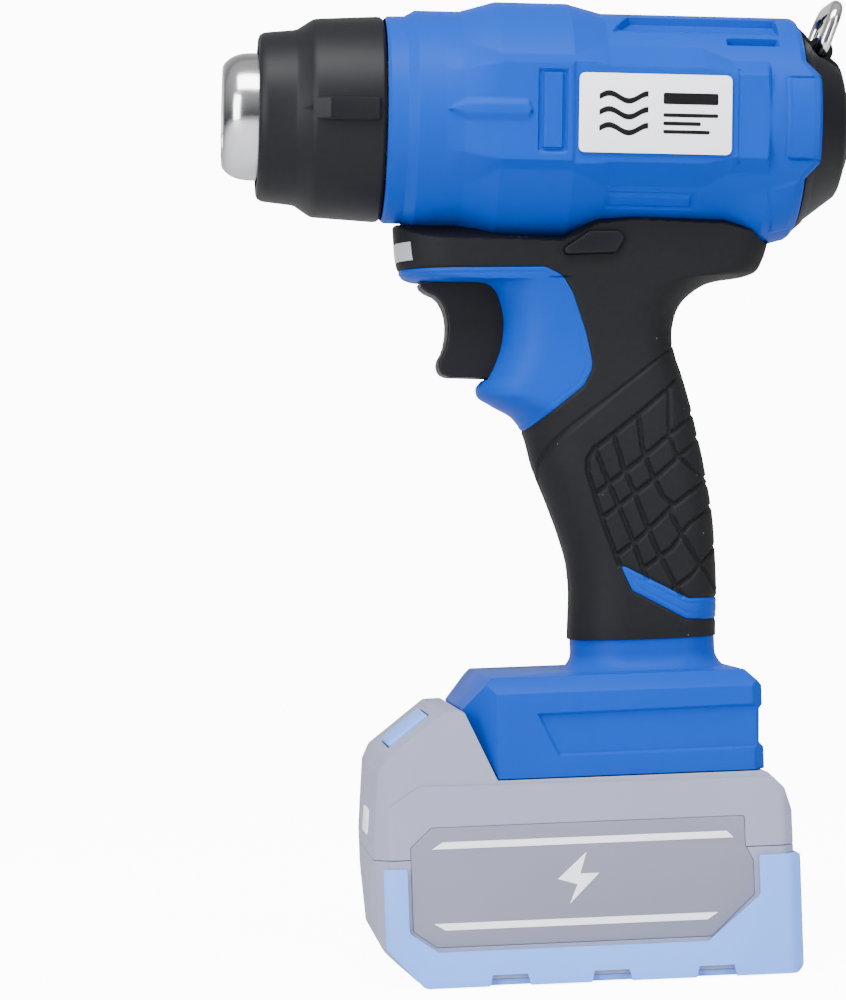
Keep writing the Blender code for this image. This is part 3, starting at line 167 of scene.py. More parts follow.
# colours are linear light: one tone and another it drifts to
finishes = {
    "housing_blue": {"colour": (0.0002, 0.042, 0.335), "other": (0.0003, 0.050, 0.365), "rough": (0.40, 0.50),
                     "grain": (1500, 0.10), "shine": 0.07},
    "grip_rubber": {"colour": (0.0034, 0.0036, 0.0050), "other": (0.0058, 0.0061, 0.0080), "rough": (0.60, 0.72),
                    "grain": (2200, 0.25), "dust": (260, 0.07, 0.5), "shine": 0.18},
    "black_plastic": {"colour": (0.0040, 0.0043, 0.0062), "other": (0.0060, 0.0064, 0.0086), "rough": (0.42, 0.52),
                      "grain": (1600, 0.14), "shine": 0.17},
    "nozzle_steel": {"colour": (0.66, 0.66, 0.69), "other": (0.40, 0.40, 0.43), "rough": (0.10, 0.26), "metal": 1.0,
                     "grain": (500, 0.04)},
    "bright_steel": {"colour": (0.70, 0.70, 0.71), "other": (0.62, 0.62, 0.63), "rough": (0.10, 0.18), "metal": 1.0,
                     "grain": (700, 0.02)},
    "screw_steel": {"colour": (0.06, 0.06, 0.063), "other": (0.10, 0.10, 0.104), "rough": (0.3, 0.4), "metal": 1.0,
                    "grain": (900, 0.05)},
    "mica": {"colour": (0.42, 0.36, 0.26), "other": (0.32, 0.27, 0.18), "rough": (0.5, 0.6), "grain": (400, 0.2)},
    "ceramic": {"colour": (0.55, 0.52, 0.46), "other": (0.46, 0.43, 0.37), "rough": (0.55, 0.65), "grain": (600, 0.2)},
    "resistance_wire": {"colour": (0.25, 0.22, 0.19), "other": (0.13, 0.10, 0.085), "rough": (0.35, 0.5),
                        "metal": 1.0, "grain": (900, 0.1)},
    "copper": {"colour": (0.50, 0.18, 0.075), "other": (0.38, 0.12, 0.045), "rough": (0.28, 0.4), "metal": 1.0,
               "grain": (900, 0.08)},
    "circuit_board": {"colour": (0.006, 0.07, 0.022), "other": (0.01, 0.10, 0.035), "rough": (0.4, 0.5),
                      "grain": (1200, 0.1)},
    "lamp_lens": {"colour": (0.42, 0.42, 0.47), "other": (0.60, 0.60, 0.66), "rough": (0.12, 0.2), "through": 0.3,
                  "grain": (300, 0.05)},
    "label_silver": {"colour": (0.90, 0.905, 0.95), "other": (0.86, 0.865, 0.92), "rough": (0.30, 0.38),
                     "grain": (1800, 0.03), "shine": 0.4},
    "label_ink": {"colour": (0.003, 0.003, 0.004), "other": (0.005, 0.005, 0.006), "rough": (0.35, 0.45),
                  "grain": (1800, 0.03), "shine": 0.2},
    "lead_red": {"colour": (0.42, 0.008, 0.008), "other": (0.33, 0.005, 0.005), "rough": (0.4, 0.5),
                 "grain": (900, 0.1)},
    "lead_black": {"colour": (0.006, 0.006, 0.007), "other": (0.01, 0.01, 0.011), "rough": (0.4, 0.5),
                   "grain": (900, 0.1)},
    "pack_grey": {"colour": (0.235, 0.250, 0.350), "other": (0.255, 0.270, 0.375), "rough": (0.46, 0.56),
                  "grain": (1500, 0.10), "shine": 0.3},
    "pack_side": {"colour": (0.172, 0.180, 0.240), "other": (0.188, 0.196, 0.258), "rough": (0.46, 0.56),
                  "grain": (1500, 0.10), "shine": 0.3},
    "pack_stripe": {"colour": (0.88, 0.89, 0.94), "other": (0.84, 0.85, 0.90), "rough": (0.4, 0.5),
                    "grain": (1500, 0.05), "shine": 0.3},
    "bumper_blue": {"colour": (0.135, 0.315, 0.90), "other": (0.150, 0.340, 0.94), "rough": (0.42, 0.52),
                    "grain": (1500, 0.10), "shine": 0.3},
    "cell_wrap": {"colour": (0.015, 0.16, 0.46), "other": (0.01, 0.12, 0.38), "rough": (0.3, 0.4),
                  "grain": (900, 0.05)},
    "studio_white": {"colour": (0.80, 0.80, 0.81), "other": (0.78, 0.78, 0.79), "rough": (0.7, 0.8),
                     "grain": (40, 0.01), "glow": 11.0},
}


def makeFinish(name, look):
    made = bpy.data.materials.new(name)
    made.use_nodes = True
    tree = made.node_tree
    shader = tree.nodes["Principled BSDF"]
    link = tree.links.new
    tone = tree.nodes.new("ShaderNodeGroup")
    tone.node_tree = effects["uneven"]
    tone.inputs["Colour"].default_value = (*look["colour"], 1.0)
    tone.inputs["Other"].default_value = (*look["other"], 1.0)
    tone.inputs["Rough Low"].default_value, tone.inputs["Rough High"].default_value = look["rough"]
    grain = tree.nodes.new("ShaderNodeGroup")
    grain.node_tree = effects["grain"]
    grain.inputs["Scale"].default_value, grain.inputs["Strength"].default_value = look["grain"]
    shader.inputs["Metallic"].default_value = look.get("metal", 0.0)
    shader.inputs["Transmission Weight"].default_value = look.get("through", 0.0)
    shader.inputs["Specular IOR Level"].default_value = look.get("shine", 0.5)
    link(tone.outputs["Roughness"], shader.inputs["Roughness"])
    link(grain.outputs["Normal"], shader.inputs["Normal"])
    if "dust" in look:
        dust = tree.nodes.new("ShaderNodeGroup")
        dust.node_tree = effects["dust"]
        for label, value in zip(("Scale", "Size", "Amount"), look["dust"]):
            dust.inputs[label].default_value = value
        mix = tree.nodes.new("ShaderNodeMix")
        mix.data_type = "RGBA"
        mix.inputs["B"].default_value = (0.16, 0.16, 0.17, 1.0)
        link(dust.outputs["Mask"], mix.inputs["Factor"])
        link(tone.outputs["Colour"], mix.inputs["A"])
        link(mix.outputs["Result"], shader.inputs["Base Color"])
    else:
        link(tone.outputs["Colour"], shader.inputs["Base Color"])
    if "glow" in look:
        # the backdrop looks evenly white from the camera but doesn't light the object
        path = tree.nodes.new("ShaderNodeLightPath")
        power = tree.nodes.new("ShaderNodeMath")
        power.operation = "MULTIPLY"
        power.inputs[1].default_value = look["glow"]
        shader.inputs["Emission Color"].default_value = (1.0, 1.0, 1.0, 1.0)
        link(path.outputs["Is Camera Ray"], power.inputs[0])
        link(power.outputs["Value"], shader.inputs["Emission Strength"])
    return made


materials = {name: makeFinish(name, look) for name, look in finishes.items()}

# ---- stage two: tools for making pieces ----
print("tools")


def meshObject(name, points, faces, matrix=None):
    mesh = bpy.data.meshes.new(name)
    mesh.from_pydata([tuple(map(float, p)) for p in points], [], faces)
    if matrix is not None:
        mesh.transform(matrix)
    mesh.validate()
    made = bpy.data.objects.new(name, mesh)
    bpy.context.scene.collection.objects.link(made)
    return made


def outward(item):
    work = bmesh.new()
    work.from_mesh(item.data)
    bmesh.ops.recalc_face_normals(work, faces=work.faces)
    work.to_mesh(item.data)
    work.free()
    return item


def loftRings(name, rings, matrix=None, closed=False):
    count = len(rings[0])
    points = [p for ring in rings for p in ring]
    faces = []
    for a in range(len(rings) if closed else len(rings) - 1):
        b = (a + 1) % len(rings)
        for k in range(count):
            m = (k + 1) % count
            faces.append((a * count + k, a * count + m, b * count + m, b * count + k))
    if not closed:
        faces.append(tuple(range(count))[::-1])
        faces.append(tuple(range((len(rings) - 1) * count, len(rings) * count)))
    return outward(meshObject(name, points, faces, matrix))


def prismOf(name, outline, low, high):
    return loftRings(name, [[(x, y, z) for x, z in outline] for y in (low, high)])


def plateOf(name, outline, low, high):
    return loftRings(name, [[(x, y, z) for x, y in outline] for z in (low, high)])


def boxOf(name, low, high, matrix=None):
    (a, b, c), (d, e, f) = low, high
    rings = [[(x, b, c), (x, e, c), (x, e, f), (x, b, f)] for x in (a, d)]
    return loftRings(name, rings, matrix)


def rodOf(name, start, end, radius, steps=48, matrix=None):
    start, end = Vector(start), Vector(end)
    turn = (end - start).to_track_quat("Z", "Y")
    rings = []
    for centre in (start, end):
        ring = []
        for k in range(steps):
            a = math.tau * k / steps
            ring.append(tuple(centre + turn @ Vector((radius * math.cos(a), radius * math.sin(a), 0))))
        rings.append(ring)
    return loftRings(name, rings, matrix)


def turnedOf(name, profile, steps=128, matrix=None, hollow=False):
    # profile is (u, radius) along the first axis, a closed loop when hollow
    rings = []
    for u, radius in profile:
        ring = []
        for k in range(steps):
            a = math.tau * k / steps
            ring.append((u, radius * math.sin(a), radius * math.cos(a)))
        rings.append(ring)
    return loftRings(name, rings, matrix, closed=hollow)


def roundedOutline(points, radii, steps=5):
    # a closed outline with each corner rounded, a radius for all or one for each
    made = []
    count = len(points)
    for k in range(count):
        here = Vector(points[k])
        before, after = Vector(points[k - 1]) - here, Vector(points[(k + 1) % count]) - here
        radius = radii[k] if isinstance(radii, (list, tuple)) else radii
        angle = before.angle(after)
        if radius <= 0 or angle > math.radians(176):
            made.append(tuple(here))
            continue
        reach = min(radius / math.tan(angle / 2), before.length * 0.48, after.length * 0.48)
        start, end = here + before.normalized() * reach, here + after.normalized() * reach
        for s in range(steps + 1):
            t = s / steps
            made.append(tuple(start * (1 - t) ** 2 + here * 2 * t * (1 - t) + end * t * t))
    return made


def grownOutline(points, distance):
    made = []
    area = sum(points[k - 1][0] * points[k][1] - points[k][0] * points[k - 1][1] for k in range(len(points)))
    sign = 1 if area > 0 else -1
    for k in range(len(points)):
        a, b, c = Vector(points[k - 1]), Vector(points[k]), Vector(points[(k + 1) % len(points)])
        first, second = (b - a).normalized(), (c - b).normalized()
        one = Vector((first.y, -first.x)) * sign
        two = Vector((second.y, -second.x)) * sign
        middle = (one + two).normalized()
        made.append(tuple(b + middle * distance / max(0.35, middle.dot(one))))
    return made


def apply(item):
    with bpy.context.temp_override(object=item, active_object=item, selected_objects=[item]):
        for name in [m.name for m in item.modifiers]:
            bpy.ops.object.modifier_apply(modifier=name)
    return item


def carve(item, *tools, how="DIFFERENCE", solver="MANIFOLD", keep=False):
    for tool in tools:
        before = len(item.data.polygons)
        change = item.modifiers.new("carve", "BOOLEAN")
        change.operation, change.solver, change.object = how, solver, tool
        apply(item)
        if not item.data.polygons or before == 0:
            raise ValueError(item.name + " was emptied by " + tool.name)
        if not keep:
            bpy.data.objects.remove(tool)
    return item


def common(item, tool, keep=False):
    return carve(item, tool, how="INTERSECT", keep=keep)


def union(item, *tools):
    return carve(item, *tools, how="UNION")


def copyOf(item, name):
    made = item.copy()
    made.data = item.data.copy()
    made.name = name
    bpy.context.scene.collection.objects.link(made)
    return made


def roundEdges(item, width, steps=3, angle=28):
    change = item.modifiers.new("round", "BEVEL")
    change.width, change.segments, change.limit_method = width, steps, "ANGLE"
    change.angle_limit = math.radians(angle)
    change.harden_normals = False
    return apply(item)


def smooth(item, angle=32):
    item.data.shade_smooth()
    item.data.set_sharp_from_angle(angle=math.radians(angle))
    return item


pieces = []


def settle(item, finish, body, *nodes, slot=None, angle=32):
    # metres, shading, material, the body it rides on and the nodes it stands for
    item.data.transform(Matrix.Scale(mm, 4))
    item.data.materials.clear()
    item.data.materials.append(materials[finish])
    smooth(item, angle)
    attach(item, body)
    if nodes:
        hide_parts(*nodes)
    pieces.append(item)
    return item


def halves(item, name, gap=0.12):
    # the left (-Y) and right (+Y) half of a moulding
    left, right = item, copyOf(item, name + "Right")
    left.name = name + "Left"
    carve(left, boxOf("side", (-400, -gap / 2, -400), (400, 400, 600)))
    carve(right, boxOf("side", (-400, -400, -400), (400, gap / 2, 600)))
    return left, right


def gentle(points):
    # a smooth curve through (height, value) points that adds no bumps
    xs, ys = (np.array(v, float) for v in zip(*points))
    steps = np.diff(xs)
    rises = np.diff(ys) / steps
    slopes = np.zeros(len(xs))
    slopes[0], slopes[-1] = rises[0], rises[-1]
    for k in range(1, len(xs) - 1):
        if rises[k - 1] * rises[k] > 0:
            a, b = 2 * steps[k] + steps[k - 1], steps[k] + 2 * steps[k - 1]
            slopes[k] = (a + b) / (a / rises[k - 1] + b / rises[k])

    def value(x):
        x = np.clip(np.asarray(x, float), xs[0], xs[-1])
        k = np.clip(np.searchsorted(xs, x, side="right") - 1, 0, len(xs) - 2)
        t = (x - xs[k]) / steps[k]
        return ((2 * t**3 - 3 * t**2 + 1) * ys[k] + (t**3 - 2 * t**2 + t) * steps[k] * slopes[k]
                + (3 * t**2 - 2 * t**3) * ys[k + 1] + (t**3 - t**2) * steps[k] * slopes[k + 1])
    return value


def ease(value, low, high):
    t = np.clip((np.asarray(value, float) - low) / (high - low), 0, 1)
    return t * t * (3 - 2 * t)


def lineDistance(px, py, line):
    best = np.full(np.shape(px), 1e9)
    for (ax, ay), (bx, by) in zip(line[:-1], line[1:]):
        dx, dy = bx - ax, by - ay
        t = np.clip(((px - ax) * dx + (py - ay) * dy) / (dx * dx + dy * dy), 0, 1)
        best = np.minimum(best, np.hypot(px - ax - t * dx, py - ay - t * dy))
    return best


def boxDistance(px, py, low, high, corner=0.0):
    # signed distance to a rectangle with round corners, below 0 inside
    cx, cy = (low[0] + high[0]) / 2, (low[1] + high[1]) / 2
    qx = np.abs(px - cx) - ((high[0] - low[0]) / 2 - corner)
    qy = np.abs(py - cy) - ((high[1] - low[1]) / 2 - corner)
    outside = np.hypot(np.maximum(qx, 0), np.maximum(qy, 0))
    return outside + np.minimum(np.maximum(qx, qy), 0) - corner


def shapeDistance(px, py, outline):
    # signed distance to a closed outline, below 0 inside
    away = lineDistance(px, py, list(outline) + [outline[0]])
    inside = np.zeros(np.shape(px), bool)
    for (ax, ay), (bx, by) in zip(outline, list(outline[1:]) + [outline[0]]):
        crosses = (ay > py) != (by > py)
        with np.errstate(divide="ignore", invalid="ignore"):
            at = ax + (py - ay) * (bx - ax) / (by - ay if by != ay else 1e-9)
        inside ^= crosses & (px < at)
    return np.where(inside, -away, away)


def joinedMesh(name, parts):
    # several closed bodies as one piece
    work = bmesh.new()
    for part in parts:
        work.from_mesh(part.data)
        bpy.data.objects.remove(part)
    mesh = bpy.data.meshes.new(name)
    work.to_mesh(mesh)
    work.free()
    made = bpy.data.objects.new(name, mesh)
    bpy.context.scene.collection.objects.link(made)
    return made


# the barrel's own frame: u along the axis to the rear, y to the right, w up
spin = joints["fan_spin"]
along = Vector(spin["axis"]).normalized()
centre = Vector(spin["pos_m"]) / mm
upward = along.cross(Vector((0, 1, 0)))
barrelFrame = Matrix((
    (along.x, 0, upward.x, centre.x),
    (along.y, 1, upward.y, centre.y),
    (along.z, 0, upward.z, centre.z),
    (0, 0, 0, 1),
))

# ---- stage three: barrel ----
print("barrel")

barrel = {
    "profile": [(-41.3, 27.2), (-40.5, 27.9), (-36.0, 28.0), (-33.2, 29.6), (-21.2, 29.6), (-11.7, 32.4), (7.8, 32.4),
                (17.1, 30.0), (68.6, 30.0), (69.6, 29.5), (70.3, 28.5)],
    "bore": 27.3,
    "tongueLength": 3.6, "tongueHalf": 11.6, "tongueFoot": 15.6,
    "facetSlope": 1.19,
    "facetEdge": [(-26.4, 19.3), (-20.7, 19.1), (-12.0, 15.2), (7.5, 15.2), (15.7, 18.6), (42.2, 18.6), (49.9, 14.9),
                  (59.6, 14.9)],
    "sidePlane": [(-26.4, 31.2), (-11.7, 31.5), (6.8, 31.5), (8.0, 30.5), (60.0, 30.5)],
    "step": 0.42,
}


def barrelRadius(u, a):
    # a is the angle down from the top in radians, the same on both sides
    us, rs = zip(*barrel["profile"])
    base = np.interp(u, us, rs)
    e = np.pi / 2 - a
    cosine, sine = np.maximum(np.cos(e), 1e-3), np.sin(e)
    plane = np.interp(u, *zip(*barrel["sidePlane"]))
    edge = np.interp(u, *zip(*barrel["facetEdge"]))
    slope = barrel["facetSlope"]
    foot = np.sqrt(np.maximum(base**2 - edge**2, 1))
    facet = (foot + slope * edge) / (cosine + slope * np.abs(sine))
    pad = np.where(np.abs(e) < np.arctan2(edge, foot), np.minimum(plane / cosine, np.maximum(base, facet)), base)
    strength = np.clip((u + 26.4) / 14.7, 0, 1) * (1 - ease(u, 59.2, 60.4))
    r = base + (pad - base) * strength
    w = r * sine
    arc = 30.0 * e
    # pointed ridge at the front
    reach = np.clip((u + 25.7) / 5.0, 0, 1) * ease(u, -3.6, -4.9)
    ridge = np.clip(1 - np.abs(w - 0.3) / (3.0 * np.maximum(reach, 0.05)), 0, 1)
    r = r + 0.9 * np.clip(ridge * 1.6, 0, 1) * (reach > 0)
    # framed bar in front of the label
    outer = boxDistance(u, w, (-2.1, -10.8), (5.6, 11.2), 0.6)
    inner = boxDistance(u, w, (-0.7, -9.7), (4.4, 10.3), 0.4)
    near = np.cos(e) > 0
    r = r - np.where(near, 0.75 * ease(outer, 0.15, -0.3) * ease(inner, -0.15, 0.3), 0)
    r = r + np.where(near, 0.25 * ease(inner, 0.1, -0.4), 0)
    # small ring groove on the lower flank
    ring = boxDistance(u, arc, (17.5, -27.8), (41.0, -22.0), 0.8)
    r = r - 0.45 * ease(np.abs(ring + 0.5), 0.75, 0.3)
    # long and short slots on the upper flank
    slant = (arc - 31.0) * 0.55
    long = boxDistance(u - np.where(u < 40, slant, 0), arc, (21.2, 26.2), (63.7, 36.1), 0.5)
    r = r - 2.2 * ease(long, 0.1, -0.5) * (0.35 + 0.65 * ease(arc, 27.0, 32.0))
    short = boxDistance(u, arc, (49.3, 21.4), (63.0, 24.1), 0.4)
    r = r - 1.9 * ease(short, 0.1, -0.45)
    # step behind the label and the raised pad at the rear
    r = r - 0.5 * ease(np.abs(u - 51.6), 0.7, 0.2) * (np.abs(w) < 12.5)
    rear = boxDistance(u, w, (64.1, -10.7), (90.0, 10.7), 0.5)
    r = r + 0.75 * ease(rear, 0.3, -0.4)
    r = r - 0.35 * ease(np.abs(rear - 0.15), 0.5, 0.1)
    # wedge low at the rear
    wedge = shapeDistance(u, w, [(60.5, -18.6), (68.0, -16.5), (68.0, -27.5), (63.0, -27.5)])
    r = r + 0.5 * ease(wedge, 0.3, -0.4)
    # the hanging lobe under the rear
    lobe = np.interp(u, (50, 54, 57.5, 60.0, 66.5, 69.5), (0, 0.9, 2.1, 2.7, 0.8, 0))
    r = r + lobe * ease(sine, -0.62, -0.86)
    # the moulding seam along the top
    return r - 0.25 * ease(np.abs(r * np.sin(a)), 0.55, 0.1)


def barrelHalf(name, side):
    us = np.unique(np.concatenate([np.arange(-41.3, 70.3, barrel["step"]), [p[0] for p in barrel["profile"]]]))
    count = int(math.pi * 30 / barrel["step"])
    a = np.linspace(0, math.pi, count)
    grid, angles = np.meshgrid(us, a, indexing="ij")
    r = barrelRadius(grid, angles)
    w = r * np.cos(angles)
    stretch = barrel["tongueLength"] * np.interp(np.abs(w), (barrel["tongueHalf"], barrel["tongueFoot"]), (1, 0))
    shifted = grid + stretch * np.clip((grid - 62.0) / 8.0, 0, 1)
    y = np.maximum(r * np.sin(angles), 0.07)
    outer = np.stack([shifted, y * side, w], -1)
    spots = [us[0], 69.6, 70.0, us[-1]]
    bores = [barrel["bore"], barrel["bore"], 28.2, 28.2]
    inner = []
    for spot, bore in zip(spots, bores):
        push = stretch[-1] * (spot >= 70.0) * (1.0 if spot > 70.1 else 0.0)
        radius = np.minimum(bore, np.full(count, 28.2))
        inner.append(np.stack([spot + push, np.maximum(radius * np.sin(a), 0.07) * side, radius * np.cos(a)], -1))
    inner = np.array(inner)
    points = np.concatenate([outer.reshape(-1, 3), inner.reshape(-1, 3)])
    n, m, base = len(us), len(spots), len(us) * count
    k = np.arange(count - 1)
    faces = []
    for row in range(n - 1):
        b = row * count + k
        faces += np.stack([b, b + 1, b + count + 1, b + count], -1).tolist()
    for row in range(m - 1):
        b = base + row * count + k
        faces += np.stack([b + count, b + count + 1, b + 1, b], -1).tolist()
    for o, i in ((0, base), ((n - 1) * count, base + (m - 1) * count)):
        faces += np.stack([o + k, o + k + 1, i + k + 1, i + k], -1).tolist()
    for column in (0, count - 1):
        loop = [row * count + column for row in range(n)] + [base + row * count + column for row in range(m)][::-1]
        faces.append(loop)
    return outward(meshObject(name, points, faces, barrelFrame))


lock = {
    "outline": [(5.0, 191.6), (18.8, 191.6), (21.4, 195.7), (20.0, 197.6), (12.0, 197.8), (5.0, 193.4)],
    "half": 19.5, "gap": 0.14, "corner": 0.8, "arch": 195.5,
}
screws = {
    "headGap": 3.6, "seat": 7.0, "boss": 4.9,
    "barrel": [(-30.0, 22.8), (57.0, 22.8), (-30.0, -22.8), (57.0, -22.8)],  # u, w
    "handle": [(30.0, 152.9), (30.0, 94.7)],  # x, z
    "foot": [(-15.6, 72.8), (44.2, 72.8)],
}


def lockShape(name, extra, low, high):
    # the lock button's outline, grown, as a prism across the handle
    return prismOf(name, grownOutline(roundedOutline(lock["outline"], lock["corner"], 3), extra), low, high)


barrelLeft = barrelHalf("barrelLeft", -1)
barrelRight = barrelHalf("barrelRight", 1)
for u, w in screws["barrel"]:
    boss = rodOf("boss", (u, 4.5, w), (u, 40, w), screws["boss"], 40, barrelFrame)
    common(boss, turnedOf("limit", [(-60, 28.4), (80, 28.4)], 96, barrelFrame))
    union(barrelRight, boss)
    carve(barrelRight, rodOf("sink", (u, screws["seat"], w), (u, 60, w), screws["headGap"], 40, barrelFrame))

# ---- stage four: handle, trigger surround and grip ----
print("handle")

handle = {
    "front": [(79.0, 4.6), (88.0, 4.6), (101.7, 5.3), (108.1, 4.9), (115.8, 3.1), (124.7, 0.2), (135.6, -3.7),
              (143.9, -5.7), (148.6, -8.4), (152.4, -14.4), (155.0, -17.9), (156.9, -18.2), (159.8, -16.1),
              (163.7, -14.1), (169.1, -12.3), (175.1, -11.6), (181.8, -12.8), (184.9, -15.4), (185.5, -18.0),
              (186.0, -30.0), (186.6, -35.4), (187.9, -37.6), (190.0, -38.4), (193.9, -39.0), (206.3, -39.3)],
    "rear": [(79.0, 44.4), (88.0, 44.4), (101.7, 45.1), (115.8, 44.9), (135.6, 42.6), (143.9, 41.0), (150.5, 39.7),
             (159.8, 37.4), (163.7, 36.2), (169.1, 35.3), (175.1, 36.4), (178.5, 38.3), (181.3, 41.5), (183.6, 46.0),
             (184.5, 50.0), (185.2, 56.0), (186.0, 58.4), (188.8, 60.4), (193.9, 62.2), (206.3, 64.7)],
    "half": [(79.0, 17.2), (143.9, 17.2), (168.3, 16.3), (182.0, 17.0), (190.3, 17.6), (206.3, 18.0)],
    "corner": 14.5,
    "shelf": [(-45.0, 197.6), (-13.0, 196.4), (5.0, 195.2), (14.7, 199.6), (25.0, 200.4), (49.0, 198.6), (56.0, 196.0), (70.0, 196.0)],
    "shelfSlope": 2.6,
    "low": 88.3, "high": 203.0, "points": 420,
    "saddle": [(-44.3, 201.3), (-38.3, 201.5), (-24.3, 201.7), (-21.8, 201.3), (-13.3, 197.9), (5.2, 196.3),
               (14.7, 201.7), (49.0, 200.0), (54.5, 198.4), (58.3, 194.9), (60.7, 193.4), (66.3, 196.6)],
    "surround": [(-60, 149.3), (-6.0, 145.1), (9.3, 156.5), (11.5, 160.5), (11.9, 162.8), (10.4, 170.9), (7.2, 181.4),
                 (4.6, 186.1), (0.1, 188.6), (-60, 189.9)],
    "stripe": [(20.3, 101.3), (34.6, 93.3), (41.2, 92.8), (60, 92.8), (60, 98.2), (35.4, 98.8), (17.1, 108.7)],
    "seam": [(50.0, 178.0), (33.0, 165.3), (23.8, 158.8), (15.8, 153.0), (5.1, 145.6), (-5.7, 137.3), (-12.0, 132.0)],
    "seamTwin": [(16.5, 153.2), (7.0, 145.9), (-0.3, 140.6), (-6.4, 135.4), (-12.0, 130.5)],
}
edgeFront, edgeRear, edgeHalf = (gentle(handle[k]) for k in ("front", "rear", "half"))

grip = {
    "depth": 0.85, "halfWidth": 0.62,
    "panel": [(32.7, 155.3), (24.0, 148.6), (17.0, 143.4), (11.6, 139.6), (9.6, 136.8), (9.4, 133.4), (11.1, 127.2),
              (13.2, 119.6), (17.0, 108.4)],
    "lines": [
        [(34.9, 157.4), (32.7, 155.3), (31.9, 144.8), (32.2, 141.6), (33.9, 137.3), (40.6, 131.2), (44.0, 128.6)],
        [(23.6, 148.0), (24.3, 139.4), (26.8, 132.0), (29.6, 126.0), (32.1, 124.0), (31.4, 121.4), (34.0, 116.4),
         (38.6, 108.9), (44.0, 100.5)],
        [(17.0, 142.4), (18.9, 134.7), (21.8, 127.4), (24.6, 119.2), (27.7, 111.2), (31.6, 103.0), (33.6, 99.3)],
        [(11.8, 139.0), (14.5, 131.5), (17.2, 124.6), (20.4, 116.2), (23.4, 107.1), (24.6, 103.6)],
        [(12.1, 128.0), (18.9, 132.8), (25.2, 137.3), (32.0, 142.6), (37.8, 146.6), (43.0, 150.6)],
        [(13.6, 121.4), (20.0, 125.9), (27.2, 130.9), (34.3, 136.6), (39.0, 140.1), (44.0, 144.0)],
        [(16.4, 110.8), (21.7, 114.4), (26.4, 118.4), (32.1, 123.6), (40.9, 129.4), (46.0, 132.8)],
        [(23.4, 106.9), (31.6, 112.4), (36.4, 118.4), (46.0, 124.4)],
        [(31.6, 101.4), (36.5, 104.7), (41.8, 109.7), (46.0, 113.4)],
    ],
}


def ringPoints(z, inset=0.0, count=None, extra=0.0):
    # one level ring from the front middle along -Y to the rear middle and back along +Y, with its outward normals
    count = count or handle["points"]
    front, rear = float(edgeFront(z)) + inset, float(edgeRear(z)) - inset
    half = float(edgeHalf(z)) - inset
    corner = min(handle["corner"] - inset, half - 0.2, (rear - front) / 2 - 0.2)
    side, end = max(rear - front - 2 * corner, 0.01), half - corner
    arc = corner * math.pi / 2
    total = 2 * end + 2 * arc + side
    s = np.linspace(0, total, count // 2 + 1)
    x, y, nx, ny = (np.zeros(len(s)) for _ in range(4))
    a = s <= end
    x[a], y[a], nx[a], ny[a] = front, s[a], -1, 0
    b = (s > end) & (s <= end + arc)
    t = (s[b] - end) / corner
    x[b], y[b] = front + corner - corner * np.cos(t), end + corner * np.sin(t)
    nx[b], ny[b] = -np.cos(t), np.sin(t)
    c = (s > end + arc) & (s <= end + arc + side)
    x[c], y[c], nx[c], ny[c] = front + corner + (s[c] - end - arc), half, 0, 1
    d = (s > end + arc + side) & (s <= end + 2 * arc + side)
    t = (s[d] - end - arc - side) / corner
    x[d], y[d] = rear - corner + corner * np.sin(t), end + corner * np.cos(t)
    nx[d], ny[d] = np.sin(t), np.cos(t)
    f = s > end + 2 * arc + side
    x[f], y[f], nx[f], ny[f] = rear, total - s[f], 1, 0
    return x, y, nx, ny, total - s


def rearReach(x, z):
    # how far round from the rear middle a point of the side view lies
    rear, half, corner = float(edgeRear(z)), float(edgeHalf(z)), handle["corner"]
    t = (x - (rear - corner)) / corner
    if t <= 0:
        return half - corner + corner * math.pi / 2 - t * corner
    if t >= 1:
        return half - corner - (t - 1) * corner
    return half - corner + corner * math.acos(t)


def unrolled(line):
    made = []
    for (ax, az), (bx, bz) in zip(line[:-1], line[1:]):
        for k in range(6):
            x, z = ax + (bx - ax) * k / 6, az + (bz - az) * k / 6
            made.append((rearReach(x, z), z))
    return made + [(rearReach(*line[-1]), line[-1][1])]


def gripRelief(s, x, z):
    # how deep the surface is cut at a distance s round from the rear middle
    depth = np.zeros(np.shape(s))
    wide = grip["halfWidth"]
    inside = shapeDistance(x, z, grip["panel"] + [(24.0, 104.2), (34.0, 98.9), (60, 98.9), (60, 166.0), (33.5, 157.0)])
    for line in grip["lines"]:
        far = lineDistance(s, z, unrolled(line))
        depth = np.maximum(depth, grip["depth"] * ease(far, wide + 0.25, wide - 0.35))
    depth = depth * ease(inside, 0.5, -0.2)
    far = lineDistance(s, z, unrolled(grip["panel"]))
    depth = np.maximum(depth, grip["depth"] * ease(far, wide + 0.2, wide - 0.35))
    for line, cut in ((handle["seam"], 0.55), (handle["seamTwin"], 0.35)):
        far = lineDistance(s, z, unrolled(line))
        depth = np.maximum(depth, cut * ease(far, 0.6, 0.12))
    for outline in (handle["surround"], handle["stripe"]):
        far = np.abs(shapeDistance(x, z, outlines[outline[0]]))
        depth = np.maximum(depth, 0.32 * ease(far, 0.75, 0.0))
        rim = np.abs(shapeDistance(x, z, outlines[outline[0]]) + 1.5)
        depth = np.maximum(depth, 0.16 * ease(rim, 0.5, 0.0))
    return depth


outlines = {
    handle["surround"][0]: roundedOutline(handle["surround"], [0, 1.2, 3.0, 2.0, 3.0, 8.0, 5.0, 4.0, 4.0, 0]),
    handle["stripe"][0]: roundedOutline(handle["stripe"], [1.0, 3.0, 2.0, 0, 0, 3.0, 0.8]),
}
surroundOutline, stripeOutline = outlines[handle["surround"][0]], outlines[handle["stripe"][0]]


